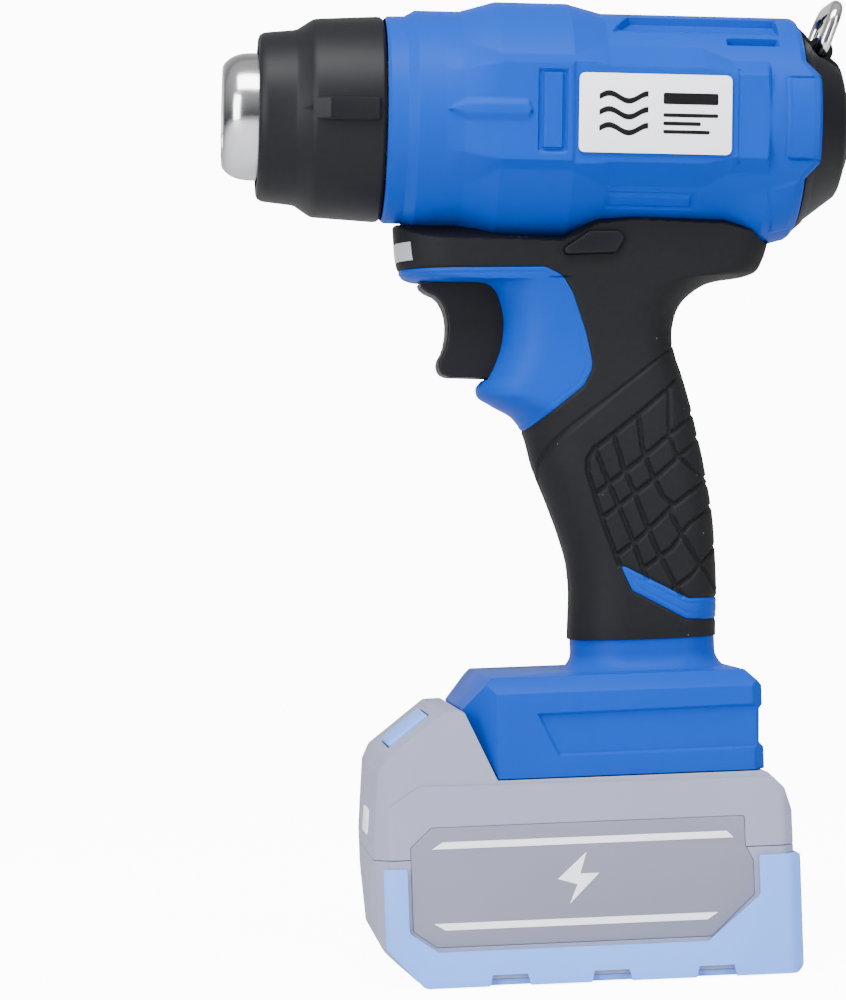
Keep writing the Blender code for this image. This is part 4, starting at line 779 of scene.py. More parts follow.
def levelHeights(low, high):
    spans = [(79, 95, 0.5), (95, 167, 0.32), (167, 183, 0.5), (183, 188.5, 0.12), (188.5, 206, 0.3)]
    made = []
    for a, b, step in spans:
        made += list(np.arange(a, b, step))
    made = [z for z in made if low + 0.05 < z < high - 0.05]
    return [low] + made + [high]


def handleLoft(name, low, high, inset=0.0, relief=True):
    rings = []
    shelfX, shelfZ = zip(*handle["shelf"])
    heights = levelHeights(low, high) if relief else [z for k, z in enumerate(levelHeights(low, high)) if k % 4 == 0] + [high]
    for z in heights:
        x, y, nx, ny, s = ringPoints(z, inset, None if relief else 120)
        if relief:
            cut = gripRelief(s, x, np.full(len(s), z))
            x, y = x - nx * cut, y - ny * cut
        room = edgeHalf(z) - inset - handle["shelfSlope"] * np.maximum(z - np.interp(x, shelfX, shelfZ) + inset * 0.4, 0)
        y = np.minimum(y, np.maximum(room, 2.0))
        y[0] = y[-1] = 0.0
        near = [(float(a), -float(b), z) for a, b in zip(x, y)]
        rings.append(near + [(a, -b, c) for a, b, c in near[-2:0:-1]])
    return loftRings(name, rings)


def barrelBlock(name, extra):
    profile = [(u, r + extra) for u, r in barrel["profile"]]
    profile = [(-60, profile[0][1])] + profile + [(100, profile[-1][1])]
    return turnedOf(name, profile, 96, barrelFrame)


lamp = {"low": (-41.0, -12.6, 191.6), "high": (-34.4, 12.6, 196.5), "gap": 0.12}
triggerSlot = {"low": (-60, -6.9, 159.1), "high": (-5.0, 6.9, 186.3)}

fullHandle = handleLoft("handle", handle["low"], handle["high"])
hollow = handleLoft("hollow", 74.0 + 6.0, 206.0, 4.2, relief=False)
line = handle["saddle"]
carve(fullHandle, prismOf("above", [(-100, line[0][1])] + line + [(100, line[-1][1]), (100, 260), (-100, 260)], -60, 60))
carve(fullHandle, barrelBlock("barrelRoom", 0.15))
lens = copyOf(fullHandle, "lens")
carve(fullHandle, hollow, keep=True)
carve(fullHandle, boxOf("slot", triggerSlot["low"], triggerSlot["high"]))
carve(fullHandle, lockShape("lockWay", lock["gap"], -40, 40), lockShape("lockRoom", 0.9, -12.7, 12.7))
gap = lamp["gap"]
low, high = [v - gap for v in lamp["low"]], [v + gap for v in lamp["high"]]
surround = copyOf(fullHandle, "surround")
stripe = copyOf(fullHandle, "stripe")
common(surround, prismOf("zone", grownOutline(surroundOutline, -0.07), -60, 60))
common(stripe, prismOf("zone", grownOutline(stripeOutline, -0.07), -60, 60))
carve(fullHandle, prismOf("zone", grownOutline(surroundOutline, 0.07), -60, 60))
carve(fullHandle, prismOf("zone", grownOutline(stripeOutline, 0.07), -60, 60))
carve(fullHandle, boxOf("lampWay", low, high))
common(lens, boxOf("lampRoom", lamp["low"], lamp["high"]))
smoothParts = []
for item, name, finish in ((fullHandle, "grip", "grip_rubber"), (surround, "surround", "housing_blue"),
                           (stripe, "stripe", "housing_blue")):
    left, right = halves(item, name)
    smoothParts.append((left, right, finish))
(gripLeft, gripRight, _), (surroundLeft, surroundRight, _), (stripeLeft, stripeRight, _) = smoothParts
for x, z in screws["handle"]:
    sink = rodOf("sink", (x, screws["seat"], z), (x, 60, z), screws["headGap"], 40)
    carve(gripRight, sink)
bpy.data.objects.remove(hollow)
settle(gripLeft, "grip_rubber", "housing", "grip_left", angle=40)
settle(gripRight, "grip_rubber", "housing", "grip_right", angle=40)
settle(surroundLeft, "housing_blue", "housing", "housing_left", angle=40)
settle(surroundRight, "housing_blue", "housing", "housing_right", angle=40)
settle(stripeLeft, "housing_blue", "housing", "housing_left", angle=40)
settle(stripeRight, "housing_blue", "housing", "housing_right", angle=40)
lens.name = "lampLens"
settle(lens, "lamp_lens", "housing", "led_lens", angle=40)
settle(barrelLeft, "housing_blue", "housing", "housing_left", angle=30)
settle(barrelRight, "housing_blue", "housing", "housing_right", angle=30)

# ---- stage five: foot ----
print("foot")

foot = {
    "outline": [(-19.0, 53.7), (51.6, 53.7), (51.6, 59.5), (50.2, 60.8), (50.6, 69.6), (51.6, 70.6), (51.6, 75.8),
                (47.4, 80.0), (-19.8, 80.0), (-27.3, 71.8)],
    "half": 36.0, "frontCut": 10.0, "rearCut": 4.0, "chamfer": (4.2, 4.0),
    "panel": [(-7.4, 69.9), (70.0, 70.6), (70.0, 60.0), (-2.7, 59.8)], "panelDepth": 0.9,
    "neck": {"low": 78.0, "top": 88.2, "spread": 8.0},
    "bevel": 0.9,
}


def planOutline(front, rear, half, frontCut, rearCut, frontRun=None):
    run = frontRun or frontCut
    plan = [(front, frontCut - half), (front + run, -half), (rear - rearCut, -half), (rear, rearCut - half)]
    return plan + [(x, -y) for x, y in plan[::-1]]


footBody = prismOf("foot", foot["outline"], -foot["half"], foot["half"])
common(footBody, plateOf("plan", planOutline(-28.3, 52.6, foot["half"], 9.5, foot["rearCut"]), 40, 90))
drop, run = foot["chamfer"]
section = [(-foot["half"] - 1, 40), (foot["half"] + 1, 40), (foot["half"] + 1, 80 - drop - 1.0),
           (foot["half"] - run, 80.02), (-(foot["half"] - run), 80.02), (-foot["half"] - 1, 80 - drop - 1.0)]
common(footBody, loftRings("section", [[(x, y, z) for y, z in section] for x in (-60, 90)]))
roundEdges(footBody, foot["bevel"], 3, 20)
for side in (-1, 1):
    outer = grownOutline(foot["panel"], 0.9)
    rings = [[(x, side * (foot["half"] + 0.3), z) for x, z in outer],
             [(x, side * (foot["half"] - foot["panelDepth"]), z) for x, z in foot["panel"]]]
    carve(footBody, loftRings("recess", rings))


def neckLoft(name):
    rings = []
    low, top, spread = (foot["neck"][k] for k in ("low", "top", "spread"))
    for z in list(np.arange(low, 84.0, 0.35)) + list(np.arange(84.0, top, 0.7)) + [top]:
        share = max(0.0, (84.6 - z) / (84.6 - low))
        grow = spread * (1 - math.sqrt(max(0.0, 1 - share**2))) if share < 1 else spread
        front, rear = 5.3 - grow * 1.15, 44.0 + grow * 0.95
        half, corner = 16.8 + grow, 14.0
        ring = []
        for cx, cy, start in ((rear - corner, half - corner, 0), (front + corner, half - corner, 1),
                              (front + corner, corner - half, 2), (rear - corner, corner - half, 3)):
            for k in range(17):
                a = math.pi / 2 * (start + k / 16)
                ring.append((cx + corner * math.cos(a), cy + corner * math.sin(a), z))
        rings.append(ring)
    return loftRings(name, rings)


union(footBody, neckLoft("neck"))
channel = {"neck": 21.9, "head": 28.9, "rear": 45.4, "low": 57.4, "top": 64.6}
carve(footBody, boxOf("way", (-60, -channel["neck"], 48), (channel["rear"], channel["neck"], channel["low"] + 1)))
carve(footBody, boxOf("way", (-60, -channel["head"], channel["low"]), (channel["rear"], channel["head"], channel["top"])))
carve(footBody, boxOf("way", (-60, -9, 64), (0, 9, 67.6)))
room = [(-18.4, 66.9), (47.6, 66.9), (47.6, 75.0), (45.6, 77.6), (-19.0, 77.6), (-23.0, 72.0)]
footRoom = prismOf("room", room, -33.4, 33.4)
common(footRoom, plateOf("plan", planOutline(-24.5, 49.4, 33.2, 10.5, 5.0), 40, 90))
carve(footBody, footRoom)
inner = [[(x, y, z) for x, y in planOutline(9.6, 40.2, 12.8, 6.0, 6.0)] for z in (76.0, 95.0)]
carve(footBody, loftRings("core", inner))
for x, z in screws["foot"]:
    boss = rodOf("boss", (x, 4.5, z), (x, 34.4, z), screws["boss"], 40)
    carve(boss, boxOf("low", (-100, 0, 40), (100, 60, 66.8)))
    carve(boss, boxOf("high", (-100, 0, 77.7), (100, 60, 99)))
    union(footBody, boss)
footLeft, footRight = halves(footBody, "foot")
for x, z in screws["foot"]:
    carve(footRight, rodOf("sink", (x, screws["seat"], z), (x, 60, z), screws["headGap"], 40))
settle(footLeft, "housing_blue", "housing", "housing_left")
settle(footRight, "housing_blue", "housing", "housing_right")

# ---- stage six: hot end ----
print("hot end")

shield = {
    "outside": [(-75.1, 20.4), (-75.1, 21.3), (-74.7, 22.1), (-73.7, 22.7), (-72.4, 22.9), (-65.6, 23.6), (-64.6, 23.9),
                (-61.3, 26.1), (-60.4, 26.6), (-59.4, 26.8), (-43.6, 27.7), (-42.5, 27.6), (-41.8, 27.0), (-41.6, 26.2)],
    "inside": [(-41.6, 25.0), (-60.0, 23.4), (-66.0, 20.6), (-74.0, 19.2), (-75.1, 19.05)],
    "ribHalf": 3.0, "ribCrest": 29.0, "ribFront": -62.1, "ribShoulder": -56.6, "ribRear": -43.4,
}
nozzle = {
    "outside": [(-41.9, 17.15), (-76.4, 17.15), (-77.6, 17.12), (-79.0, 16.98), (-80.4, 16.66), (-81.7, 16.15),
                (-82.8, 15.5), (-83.7, 14.7), (-84.25, 14.0), (-84.5, 13.4), (-84.5, 13.0), (-84.3, 12.75)],
    "inside": [(-83.9, 12.65), (-83.4, 12.9), (-82.9, 13.9), (-81.6, 15.0), (-79.9, 15.9), (-77.0, 16.35),
               (-41.9, 16.35)],
}
shell = turnedOf("heatShield", shield["outside"] + shield["inside"], 160, barrelFrame, hollow=True)
for side in (-1, 1):
    front, shoulder, rear, wide = (shield[k] for k in ("ribFront", "ribShoulder", "ribRear", "ribHalf"))
    rings = []
    for u, crest in ((front, 25.2), (front + 1.0, 26.4), (shoulder, 28.6), (rear - 0.4, shield["ribCrest"]), (rear, 28.4)):
        ring = [(u, side * 22.0, -wide), (u, side * (crest - 0.9), -wide), (u, side * (crest - 0.35), -wide + 0.4),
                (u, side * crest, 0.0), (u, side * (crest - 0.35), wide - 0.4), (u, side * (crest - 0.9), wide),
                (u, side * 22.0, wide)]
        rings.append(ring)
    rib = loftRings("rib", rings, barrelFrame)
    common(rib, turnedOf("keep", [(-70, 32), (-41.7, 32)], 32, barrelFrame))
    carve(rib, turnedOf("hole", [(-80, 22.6), (-61.0, 23.2), (-58.0, 24.0), (-30, 24.4)], 96, barrelFrame))
    union(shell, rib)
settle(shell, "black_plastic", "housing", "heat_shield", angle=24)

tube = turnedOf("nozzleTube", nozzle["outside"] + nozzle["inside"], 160, barrelFrame, hollow=True)
settle(tube, "nozzle_steel", "housing", "nozzle_tube", angle=50)

# ---- stage seven: rear cap, grille and hanging ring ----
print("rear cap")

cap = {
    "outside": [(65.0, 26.9), (70.5, 26.9), (70.5, 27.4), (70.8, 27.8), (71.2, 27.6), (73.0, 26.0), (73.4, 25.2),
                (81.4, 19.0), (82.0, 18.5), (82.5, 17.7), (83.25, 15.4), (83.35, 14.8), (83.3, 14.2)],
    "inside": [(83.2, 12.6), (81.2, 12.6), (81.2, 14.8), (77.8, 18.0), (73.6, 21.8), (70.6, 24.8), (65.0, 24.8)],
    "bar": (76.7, 20.6), "bore": 2.2, "bearing": 3.6, "bearingHalf": 8.6, "legWay": 15.5,
}
u, w = cap["bar"]
capBody = turnedOf("rearCap", cap["outside"] + cap["inside"], 160, barrelFrame, hollow=True)
bearing = rodOf("bearing", (u, -cap["bearingHalf"], w), (u, cap["bearingHalf"], w), cap["bearing"], 40, barrelFrame)
union(capBody, bearing)
carve(capBody, rodOf("bore", (u, -30, w), (u, 30, w), cap["bore"], 40, barrelFrame))
for side in (-1, 1):
    low, high = sorted((side * cap["bearingHalf"], side * cap["legWay"]))
    floor = w - cap["bore"] - 0.5
    swing = [(u - 8, floor), (u, floor), (u + 16, floor - 7.5), (u + 20, w + 20), (u - 8, w + 20)]
    carve(capBody, loftRings("legWay", [[(a, y, b) for a, b in swing] for y in (low, high)], barrelFrame))
settle(capBody, "black_plastic", "housing", "rear_cap", angle=24)

grille = turnedOf("intakeGrille", [(81.5, 11.8), (81.5, 12.2), (83.8, 12.2), (84.3, 12.0), (84.55, 11.5)], 96, barrelFrame)
for k in range(-2, 3):
    half = math.sqrt(10.4**2 - (4.0 * k) ** 2)
    slot = boxOf("slot", (79, -half, 4.0 * k - 1.1), (90, half, 4.0 * k + 1.1), barrelFrame)
    roundEdges(slot, 0.9, 4)
    carve(grille, slot)
settle(grille, "black_plastic", "housing", "intake_grille", angle=24)

ring = {"half": 11.6, "tall": 13.0, "high": 5.5, "low": 2.4, "wire": 1.8, "lean": 20.0}


def sweptLoop(name, path, radius, steps=24, matrix=None):
    rings = []
    for k, point in enumerate(path):
        ahead = (path[(k + 1) % len(path)] - path[k - 1]).normalized()
        side = ahead.cross(leanNormal).normalized()
        loop = []
        for s in range(steps):
            a = math.tau * s / steps
            loop.append(tuple(point + radius * (math.cos(a) * side + math.sin(a) * leanNormal)))
        rings.append(loop)
    return loftRings(name, rings, matrix, closed=True)


lean = math.radians(ring["lean"])
leanNormal = Vector((math.cos(lean), 0, -math.sin(lean)))
path = []
for cy, cz, quarter, r in ((ring["half"] - ring["high"], ring["tall"] - ring["high"], 0, ring["high"]),
                           (ring["high"] - ring["half"], ring["tall"] - ring["high"], 1, ring["high"]),
                           (ring["low"] - ring["half"], ring["low"], 2, ring["low"]),
                           (ring["half"] - ring["low"], ring["low"], 3, ring["low"])):
    for k in range(15):
        a = math.pi / 2 * (quarter + k / 14)
        y, z = cy + r * math.cos(a), cz + r * math.sin(a)
        path.append(Vector((u + z * math.sin(lean), y, w + z * math.cos(lean))))
hanger = sweptLoop("hangRing", path, ring["wire"], 24, barrelFrame)
settle(hanger, "bright_steel", "ring", "hang_ring", angle=60)

# ---- stage eight: controls ----
print("controls")

trigger = {
    "outline": [(-32.9, 185.7), (-32.6, 184.4), (-31.2, 183.2), (-28.9, 182.1), (-27.6, 180.8), (-26.6, 178.8),
                (-26.0, 176.6), (-25.8, 174.2), (-26.0, 171.4), (-26.6, 168.6), (-27.4, 166.6), (-28.4, 165.0),
                (-28.7, 163.6), (-28.4, 162.0), (-27.6, 160.9), (-26.2, 160.3), (-17.1, 159.7), (-8, 159.7),
                (-8, 185.7)],
    "half": 6.5, "bevel": 3.1,
}
lever = prismOf("triggerLever", trigger["outline"], -trigger["half"], trigger["half"])
change = lever.modifiers.new("round", "BEVEL")
change.width, change.segments, change.limit_method = trigger["bevel"], 6, "WEIGHT"
work = bmesh.new()
work.from_mesh(lever.data)
weights = work.edges.layers.float.new("bevel_weight_edge")
for edge in work.edges:
    a, b = edge.verts
    sameSide = abs(a.co.y - b.co.y) < 0.1
    if sameSide and max(a.co.x, b.co.x) < -20 and max(a.co.z, b.co.z) < 185.0:
        edge[weights] = 1.0
work.to_mesh(lever.data)
work.free()
apply(lever)
settle(lever, "black_plastic", "trigger", "trigger", angle=50)

button = prismOf("lockButton", roundedOutline(lock["outline"], lock["corner"], 3), -lock["half"], lock["half"])
roundEdges(button, 0.7, 3, 50)
# collars inside the handle close the gaps round the button, and an arch clears the barrel
for side in (-1, 1):
    low, high = sorted((side * 8.2, side * 10.2))
    union(button, lockShape("collar", 0.45, low, high))
carve(button, boxOf("waist", (0, -8, 186), (30, 8, 192.7)))
carve(button, boxOf("arch", (0, -11.5, lock["arch"]), (30, 11.5, 200)))
settle(button, "black_plastic", "lock", "lock_button")

# ---- stage nine: labels ----
print("labels")

label = {"low": (8.7, -10.5), "high": (49.3, 10.5), "corner": 1.8, "near": 30.8, "far": 31.3}


def sidePlate(name, outline, near, far, side):
    # a plate that stands off the barrel's side, its outline in (u, w)
    rings = [[(u, side * y, w) for u, w in outline] for y in (near, far)]
    return loftRings(name, rings, barrelFrame)


def sheetOutline(low, high, corner, steps=8):
    points = [low, (high[0], low[1]), high, (low[0], high[1])]
    return roundedOutline(points, corner, steps)


for side, name in ((-1, "Left"), (1, "Right")):
    plate = sidePlate("label" + name, sheetOutline(label["low"], label["high"], label["corner"]),
                      label["near"], label["far"] - 0.12, side)
    roundEdges(plate, 0.1, 2, 60)
    settle(plate, "label_silver", "housing", "label_" + name.lower())
    marks = []
    # a blower sign: three wavy streams, a bar and small lines
    for row in (-4.2, 0.0, 4.2):
        stream = []
        for k in range(25):
            t = k / 24
            stream.append((14.0 + 13.0 * t, row + 1.0 * math.sin(t * math.tau * 1.25)))
        upper = [(a, b + 0.75) for a, b in stream]
        lower = [(a, b - 0.75) for a, b in stream[::-1]]
        flipped = [(a, b) for a, b in lower + upper]
        marks.append(sidePlate("mark", flipped, label["far"] - 0.15, label["far"] - 0.04, side))
    for low, high in (((31.0, 2.6), (45.6, 5.6)), ((31.0, -0.8), (45.6, 0.2)), ((31.0, -3.0), (41.0, -2.0)),
                      ((31.0, -5.2), (43.4, -4.2))):
        marks.append(sidePlate("mark", sheetOutline(low, high, 0.4, 3), label["far"] - 0.15, label["far"] - 0.04, side))
    ink = joinedMesh("labelInk" + name, marks)
    settle(ink, "label_ink", "housing", "label_" + name.lower(), slot="label_silver")

# ---- stage ten: battery pack ----
print("battery pack")

pack = {
    "outline": [(-40.2, 0.0), (56.8, 0.0), (58.6, 1.8), (58.6, 33.6), (58.4, 42.6), (56.3, 48.6), (51.6, 53.4),
                (-19.3, 53.4), (-27.6, 71.8), (-32.8, 71.8), (-48.5, 60.0), (-50.6, 56.0), (-52.4, 36.6),
                (-52.3, 27.0), (-51.0, 10.2)],
    "radii": [2, 1, 1, 0, 1, 2, 3, 0, 1.0, 2.0, 2.5, 2, 1, 1, 3],
    "half": 36.6, "front": -52.4, "rear": 58.6, "parting": 33.6, "bevel": 1.3,
    "shoulder": [(-60, 45.6), (-50.8, 45.6), (-40.1, 52.6), (60, 51.6), (60, 90), (-60, 90)],
    "panel": [(-42.8, 15.0), (-36.8, 10.6), (35.7, 10.6), (47.2, 21.1), (47.2, 30.0), (45.2, 34.0), (45.2, 41.8),
              (-37.3, 41.8), (-42.8, 36.8)],
    "stripes": ([(-37.3, 36.2), (42.2, 36.2), (40.4, 38.0), (-34.4, 38.0)],
                [(-34.4, 15.0), (34.6, 15.0), (37.4, 16.8), (-37.3, 16.8)]),
    "boltSign": [(-4.5, 27.2), (3.2, 34.0), (1.4, 28.4), (6.4, 28.4), (-1.6, 20.6), (0.6, 25.6)],
}


def slopeBlock(name, extra, low, high, along=6.6, half=14.5):
    # a block square to the sloped front of the hump
    middle, run, normal = Vector((-40.7, 65.9)), Vector((0.7975, 0.6033)), Vector((-0.6033, 0.7975))
    outline = []
    for a, n in ((-along - extra, low), (along + extra, low), (along + extra, high), (-along - extra, high)):
        outline.append(tuple(middle + run * a + normal * n))
    return prismOf(name, outline, -half - extra, half + extra)


case = prismOf("case", roundedOutline(pack["outline"], pack["radii"], 4), -pack["half"], pack["half"])
plan = planOutline(pack["front"], pack["rear"], pack["half"], 4.5, 3.0)
common(case, plateOf("plan", roundedOutline(plan, 3.0, 4), -5, 90))
roundEdges(case, pack["bevel"], 4, 40)
for side in (-1, 1):
    # a shallow step at the shoulder
    low, high = sorted((side * (pack["half"] - 0.6), side * 60))
    carve(case, prismOf("shoulder", pack["shoulder"], low, high))
railNeck, railHead = boxOf("neck", (-22, -21.5, 52), (45, 21.5, 58.8)), boxOf("head", (-24, -28.5, 57.8), (45, 28.5, 64.2))
roundEdges(railHead, 0.5, 2)
union(case, railNeck, railHead)
hollowCase = prismOf("hollow", grownOutline(pack["outline"], -2.0), -34.5, 34.5)
common(hollowCase, plateOf("plan", planOutline(-50.4, 56.6, 34.6, 3.6, 2.2), -10, 90))
carve(case, hollowCase)
carve(case, slopeBlock("buttonWay", 0.4, -8.0, 5.0))
carve(case, boxOf("armWay", (-30.0, -6.4, 55.9), (-2.8, 6.4, 61.2)))
carve(case, boxOf("hookWay", (-11.4, -6.4, 59.0), (-2.8, 6.4, 67.8)))
for y in (-11.0, 0.0, 11.0):
    carve(case, boxOf("bladeSlot", (9.0, y - 1.7, 55.8), (50, y + 1.7, 69.2)))
for side in (-1, 1):
    low, high = sorted((side * (pack["half"] - 0.75), side * 60))
    window = prismOf("window", roundedOutline(grownOutline(pack["panel"], 0.14), 0.8, 3), low, high)
    carve(case, window)
lowerCase = copyOf(case, "packLower")
case.name = "packUpper"
carve(case, boxOf("low", (-200, -200, -50), (200, 200, pack["parting"] + 0.12)))
carve(lowerCase, boxOf("high", (-200, -200, pack["parting"] - 0.12), (200, 200, 200)))
carve(lowerCase, boxOf("floor", (-200, -200, -10), (200, 200, 1.85)))
settle(case, "pack_grey", "pack", "pack_case_upper")
settle(lowerCase, "pack_grey", "pack", "pack_case_lower")

bumper = {
    "outline": [(-40.2, 0.0), (58.4, 0.0), (60.2, 1.8), (60.2, 31.4), (48.7, 31.4), (48.7, 21.0), (34.7, 9.4),
                (-36.4, 9.4), (-43.9, 14.6), (-43.9, 31.4), (-51.8, 31.4), (-51.2, 12.0)],
    "radii": [2.5, 2, 2, 1.2, 0.6, 1.5, 1.5, 1.5, 1.5, 0.6, 0.6, 3],
    "half": 38.0, "notches": (-17.9, 8.8, 36.5),
}
guard = prismOf("bumper", roundedOutline(bumper["outline"], bumper["radii"], 4), -bumper["half"], bumper["half"])
common(guard, plateOf("plan", roundedOutline(planOutline(-53, 60.3, 38.0, 4.0, 3.5), 3, 4), -5, 90))
roundEdges(guard, 0.7, 3, 40)
for x in bumper["notches"]:
    notch = [(x - 5.6, -1), (x + 5.6, -1), (x + 4.6, 3.0), (x - 4.6, 3.0)]
    for side in (-1, 1):
        low, high = sorted((side * (bumper["half"] - 2.5), side * (bumper["half"] + 5)))
        carve(guard, prismOf("notch", notch, low, high))
inside = roundedOutline(planOutline(-52.7, 58.9, 36.9, 4.5, 3.0), 3.0, 4)
carve(guard, plateOf("inside", inside, 1.6, 200))
carve(guard, boxOf("frontGap", (-60, -36.9, -5), (-38.4, 36.9, 50)))
settle(guard, "bumper_blue", "pack", "pack_bumper")

for side, name in ((-1, "Left"), (1, "Right")):
    low, high = sorted((side * (pack["half"] - 0.4), side * (pack["half"] + 0.2)))
    board = prismOf("packPanel" + name, roundedOutline(pack["panel"], 0.8, 3), low, high)
    roundEdges(board, 0.15, 2, 50)
    settle(board, "pack_side", "pack", "pack_panel_" + name.lower(), slot="pack_grey")
    low, high = sorted((side * (pack["half"] + 0.1), side * (pack["half"] + 0.3)))
    shapes = [prismOf("stripe", points, low, high) for points in pack["stripes"]]
    shapes.append(prismOf("bolt", pack["boltSign"], low, high))
    settle(joinedMesh("packStripes" + name, shapes), "pack_stripe", "pack", "pack_panel_" + name.lower(), slot="pack_grey")

gauge = {"low": (-9.0, 38.2), "high": (9.0, 45.0), "corner": 1.5, "stand": 0.35}
frontLean = (52.4 - 50.6) / (56.0 - 36.6)
gaugeRings = []
for depth in (-0.6, gauge["stand"]):
    edge = sheetOutline(gauge["low"], gauge["high"], gauge["corner"], 5)
    gaugeRings.append([(-52.4 + (z - 36.6) * frontLean - depth, y, z) for y, z in edge])
window = loftRings("chargeWindow", gaugeRings)
roundEdges(window, 0.2, 2, 50)
settle(window, "pack_stripe", "pack", "pack_case_upper", slot="pack_grey")

press = slopeBlock("releaseButton", 0.0, -3.4, 0.9)
roundEdges(press, 0.8, 3)
arm = boxOf("arm", (-34.0, -6, 58.8), (-6.0, 6, 60.8))
web = boxOf("web", (-36.5, -6, 58.8), (-33.0, 6, 65.2))
hook = boxOf("hook", (-11.0, -6, 59.0), (-6.0, 6, 65.8))
for part in (arm, web, hook):
    union(press, part)
settle(press, "bumper_blue", "release", "release_button")

springs = {
    "trigger": {"radius": 3.2, "wire": 0.45, "turns": 4, "travel": 6.0},
    "release": {"radius": 2.6, "wire": 0.4, "turns": 3, "travel": 2.5, "low": -12.1, "high": -4.1},
}


def coilSpring(name, start, direction, across, length, look, steps=40, sides=14):
    # a round-wire helix from start along direction
    up = direction.cross(across)
    rings = []
    rise = (length - 2 * look["wire"]) / (look["turns"] * math.tau)
    for k in range(look["turns"] * steps + 1):
        a = math.tau * k / steps
        out = across * math.cos(a) + up * math.sin(a)
        ahead = (rise * direction + look["radius"] * (up * math.cos(a) - across * math.sin(a))).normalized()
        side = ahead.cross(out)
        point = start + direction * (look["wire"] + rise * a) + out * look["radius"]
        rings.append([tuple(point + look["wire"] * (math.cos(b) * out + math.sin(b) * side))
                      for b in (math.tau * s / sides for s in range(sides))])
    return loftRings(name, rings)


low, high = (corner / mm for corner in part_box("trigger_spring"))
start = Vector((low.x, 0, (low.z + high.z) / 2))
length = high.x - low.x
coil = coilSpring("triggerCoil", start, Vector((1, 0, 0)), Vector((0, 1, 0)), length, springs["trigger"])
settle(coil, "bright_steel", "housing", "trigger_spring", angle=60)
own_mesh(coil)
look = springs["release"]
slopeNormal = Vector((-0.6033, 0, 0.7975))
seat = Vector((-40.7 - 3.0 * 0.7975, 10.0, 65.9 - 3.0 * 0.6033))
start, length = seat + slopeNormal * look["low"], look["high"] - look["low"]
coil = coilSpring("releaseCoil", start, slopeNormal, Vector((0, 1, 0)), length, look)
settle(coil, "bright_steel", "pack", "release_spring", slot="bright_steel", angle=60)
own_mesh(coil)

# ---- stage eleven: kept pieces of the part ----
print("kept pieces")

keptFinishes = {
    "insulation_sleeve": "mica", "heater_mount": "ceramic", "heater_core": "mica", "heater_coil": "resistance_wire",
    "thermal_sensor": "copper", "fan_duct": "black_plastic", "fan_impeller": "black_plastic",
    "motor_can": "bright_steel", "motor_end_cap": "black_plastic", "motor_shaft": "bright_steel",
    "motor_armature": "copper", "motor_bracket": "black_plastic",
    "trigger_switch": "black_plastic", "led_board": "circuit_board", "control_board": "circuit_board",
    "terminal_block": "black_plastic", "terminal_negative": "copper", "terminal_positive": "copper",
    "terminal_signal": "copper", "battery_lead_negative": "lead_black", "battery_lead_positive": "lead_red",
    "motor_lead_negative": "lead_black", "motor_lead_positive": "lead_red", "heater_lead_left": "lead_red",
    "heater_lead_right": "lead_red", "cell_row_lower": "cell_wrap", "cell_row_upper": "cell_wrap",
    "pack_board": "circuit_board", "pack_contact_negative": "copper", "pack_contact_positive": "copper",
}
for name, node in frame["nodes"].items():
    finish = "screw_steel" if name.startswith("screw_") else keptFinishes.get(name)
    if finish is None:
        if not node.hide_render:
            print("no finish for", name)
        continue
    node.data.materials.clear()
    node.data.materials.append(materials[finish])

# ---- stage twelve: studio and camera ----
print("studio")

studio = {"floorHalf": 3.0, "wallFar": 1.6, "cameraDistance": 1.0, "cameraYaw": 4.5, "cameraRoll": 1.95,
          "aim": (-33.6, 0.0, 127.4), "lens": 133.0}
rings = []
wall = studio["wallFar"]
curve = [(-3.0, 0.0)] + [(wall - 0.8 + 0.8 * math.sin(a), 0.8 - 0.8 * math.cos(a)) for a in np.linspace(0, math.pi / 2, 24)]
curve += [(wall, 3.0)]
points, faces = [], []
for y, z in curve:
    points += [(-studio["floorHalf"], y, z - 0.0004), (studio["floorHalf"], y, z - 0.0004)]
for k in range(len(curve) - 1):
    faces.append((2 * k, 2 * k + 1, 2 * k + 3, 2 * k + 2))
sweep = meshObject("studioSweep", points, faces)
sweep.data.materials.append(materials["studio_white"])
sweep.data.shade_smooth()

world = bpy.data.worlds.new("studio")
bpy.context.scene.world = world
world.use_nodes = True
backdrop = world.node_tree.nodes["Background"]
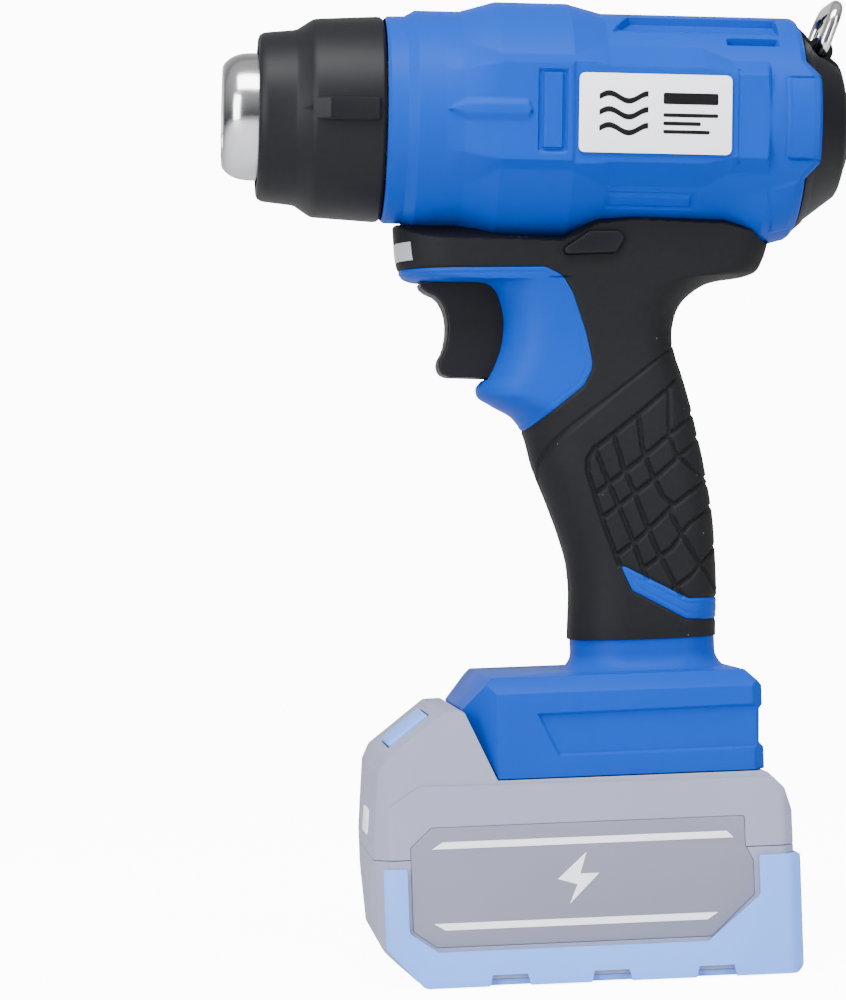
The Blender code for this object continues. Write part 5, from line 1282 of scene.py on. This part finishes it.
# a dim room with a bright ceiling, so that metal has something to reflect
direction = world.node_tree.nodes.new("ShaderNodeTexCoord")
split = world.node_tree.nodes.new("ShaderNodeSeparateXYZ")
ramp = world.node_tree.nodes.new("ShaderNodeValToRGB")
ramp.color_ramp.elements[0].position, ramp.color_ramp.elements[0].color = 0.0, (0.16, 0.16, 0.17, 1.0)
ramp.color_ramp.elements[1].position, ramp.color_ramp.elements[1].color = 0.75, (1.0, 1.0, 1.0, 1.0)
world.node_tree.links.new(direction.outputs["Generated"], split.inputs["Vector"])
world.node_tree.links.new(split.outputs["Z"], ramp.inputs["Fac"])
world.node_tree.links.new(ramp.outputs["Color"], backdrop.inputs["Color"])
backdrop.inputs["Strength"].default_value = 0.7


def softLight(name, place, target, size, power, tint=(1, 1, 1)):
    lightData = bpy.data.lights.new(name, "AREA")
    lightData.shape, lightData.size, lightData.size_y = "RECTANGLE", size[0], size[1]
    lightData.energy, lightData.color = power, tint
    made = bpy.data.objects.new(name, lightData)
    bpy.context.scene.collection.objects.link(made)
    made.location = place
    made.rotation_euler = (Vector(target) - Vector(place)).to_track_quat("-Z", "Y").to_euler()
    return made


lights = [
    softLight("topLight", (-0.1, -0.45, 1.05), (0, 0, 0.15), (0.9, 0.5), 21.0),
    softLight("leftLight", (-0.85, -0.9, 0.5), (0, 0, 0.15), (0.45, 0.9), 17.0),
    softLight("rightLight", (0.95, -0.85, 0.35), (0, 0, 0.13), (0.4, 0.9), 9.0),
]

yaw, roll = math.radians(studio["cameraYaw"]), math.radians(studio["cameraRoll"])
aim = Vector(studio["aim"]) * mm
cameraData = bpy.data.cameras.new("camera")
cameraData.lens, cameraData.sensor_width = studio["lens"], 36.0
cameraData.clip_start, cameraData.clip_end = 0.01, 20.0
camera = bpy.data.objects.new("camera", cameraData)
bpy.context.scene.collection.objects.link(camera)
away = Vector((-math.sin(yaw), -math.cos(yaw), 0.0))
camera.location = aim + away * studio["cameraDistance"]
facing = (-away).to_track_quat("-Z", "Y").to_matrix().to_4x4()
camera.matrix_world = Matrix.Translation(camera.location) @ facing @ Matrix.Rotation(-roll, 4, "Z")
bpy.context.scene.camera = camera

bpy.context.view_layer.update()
for item in pieces:
    print(item.name, len(item.data.polygons))
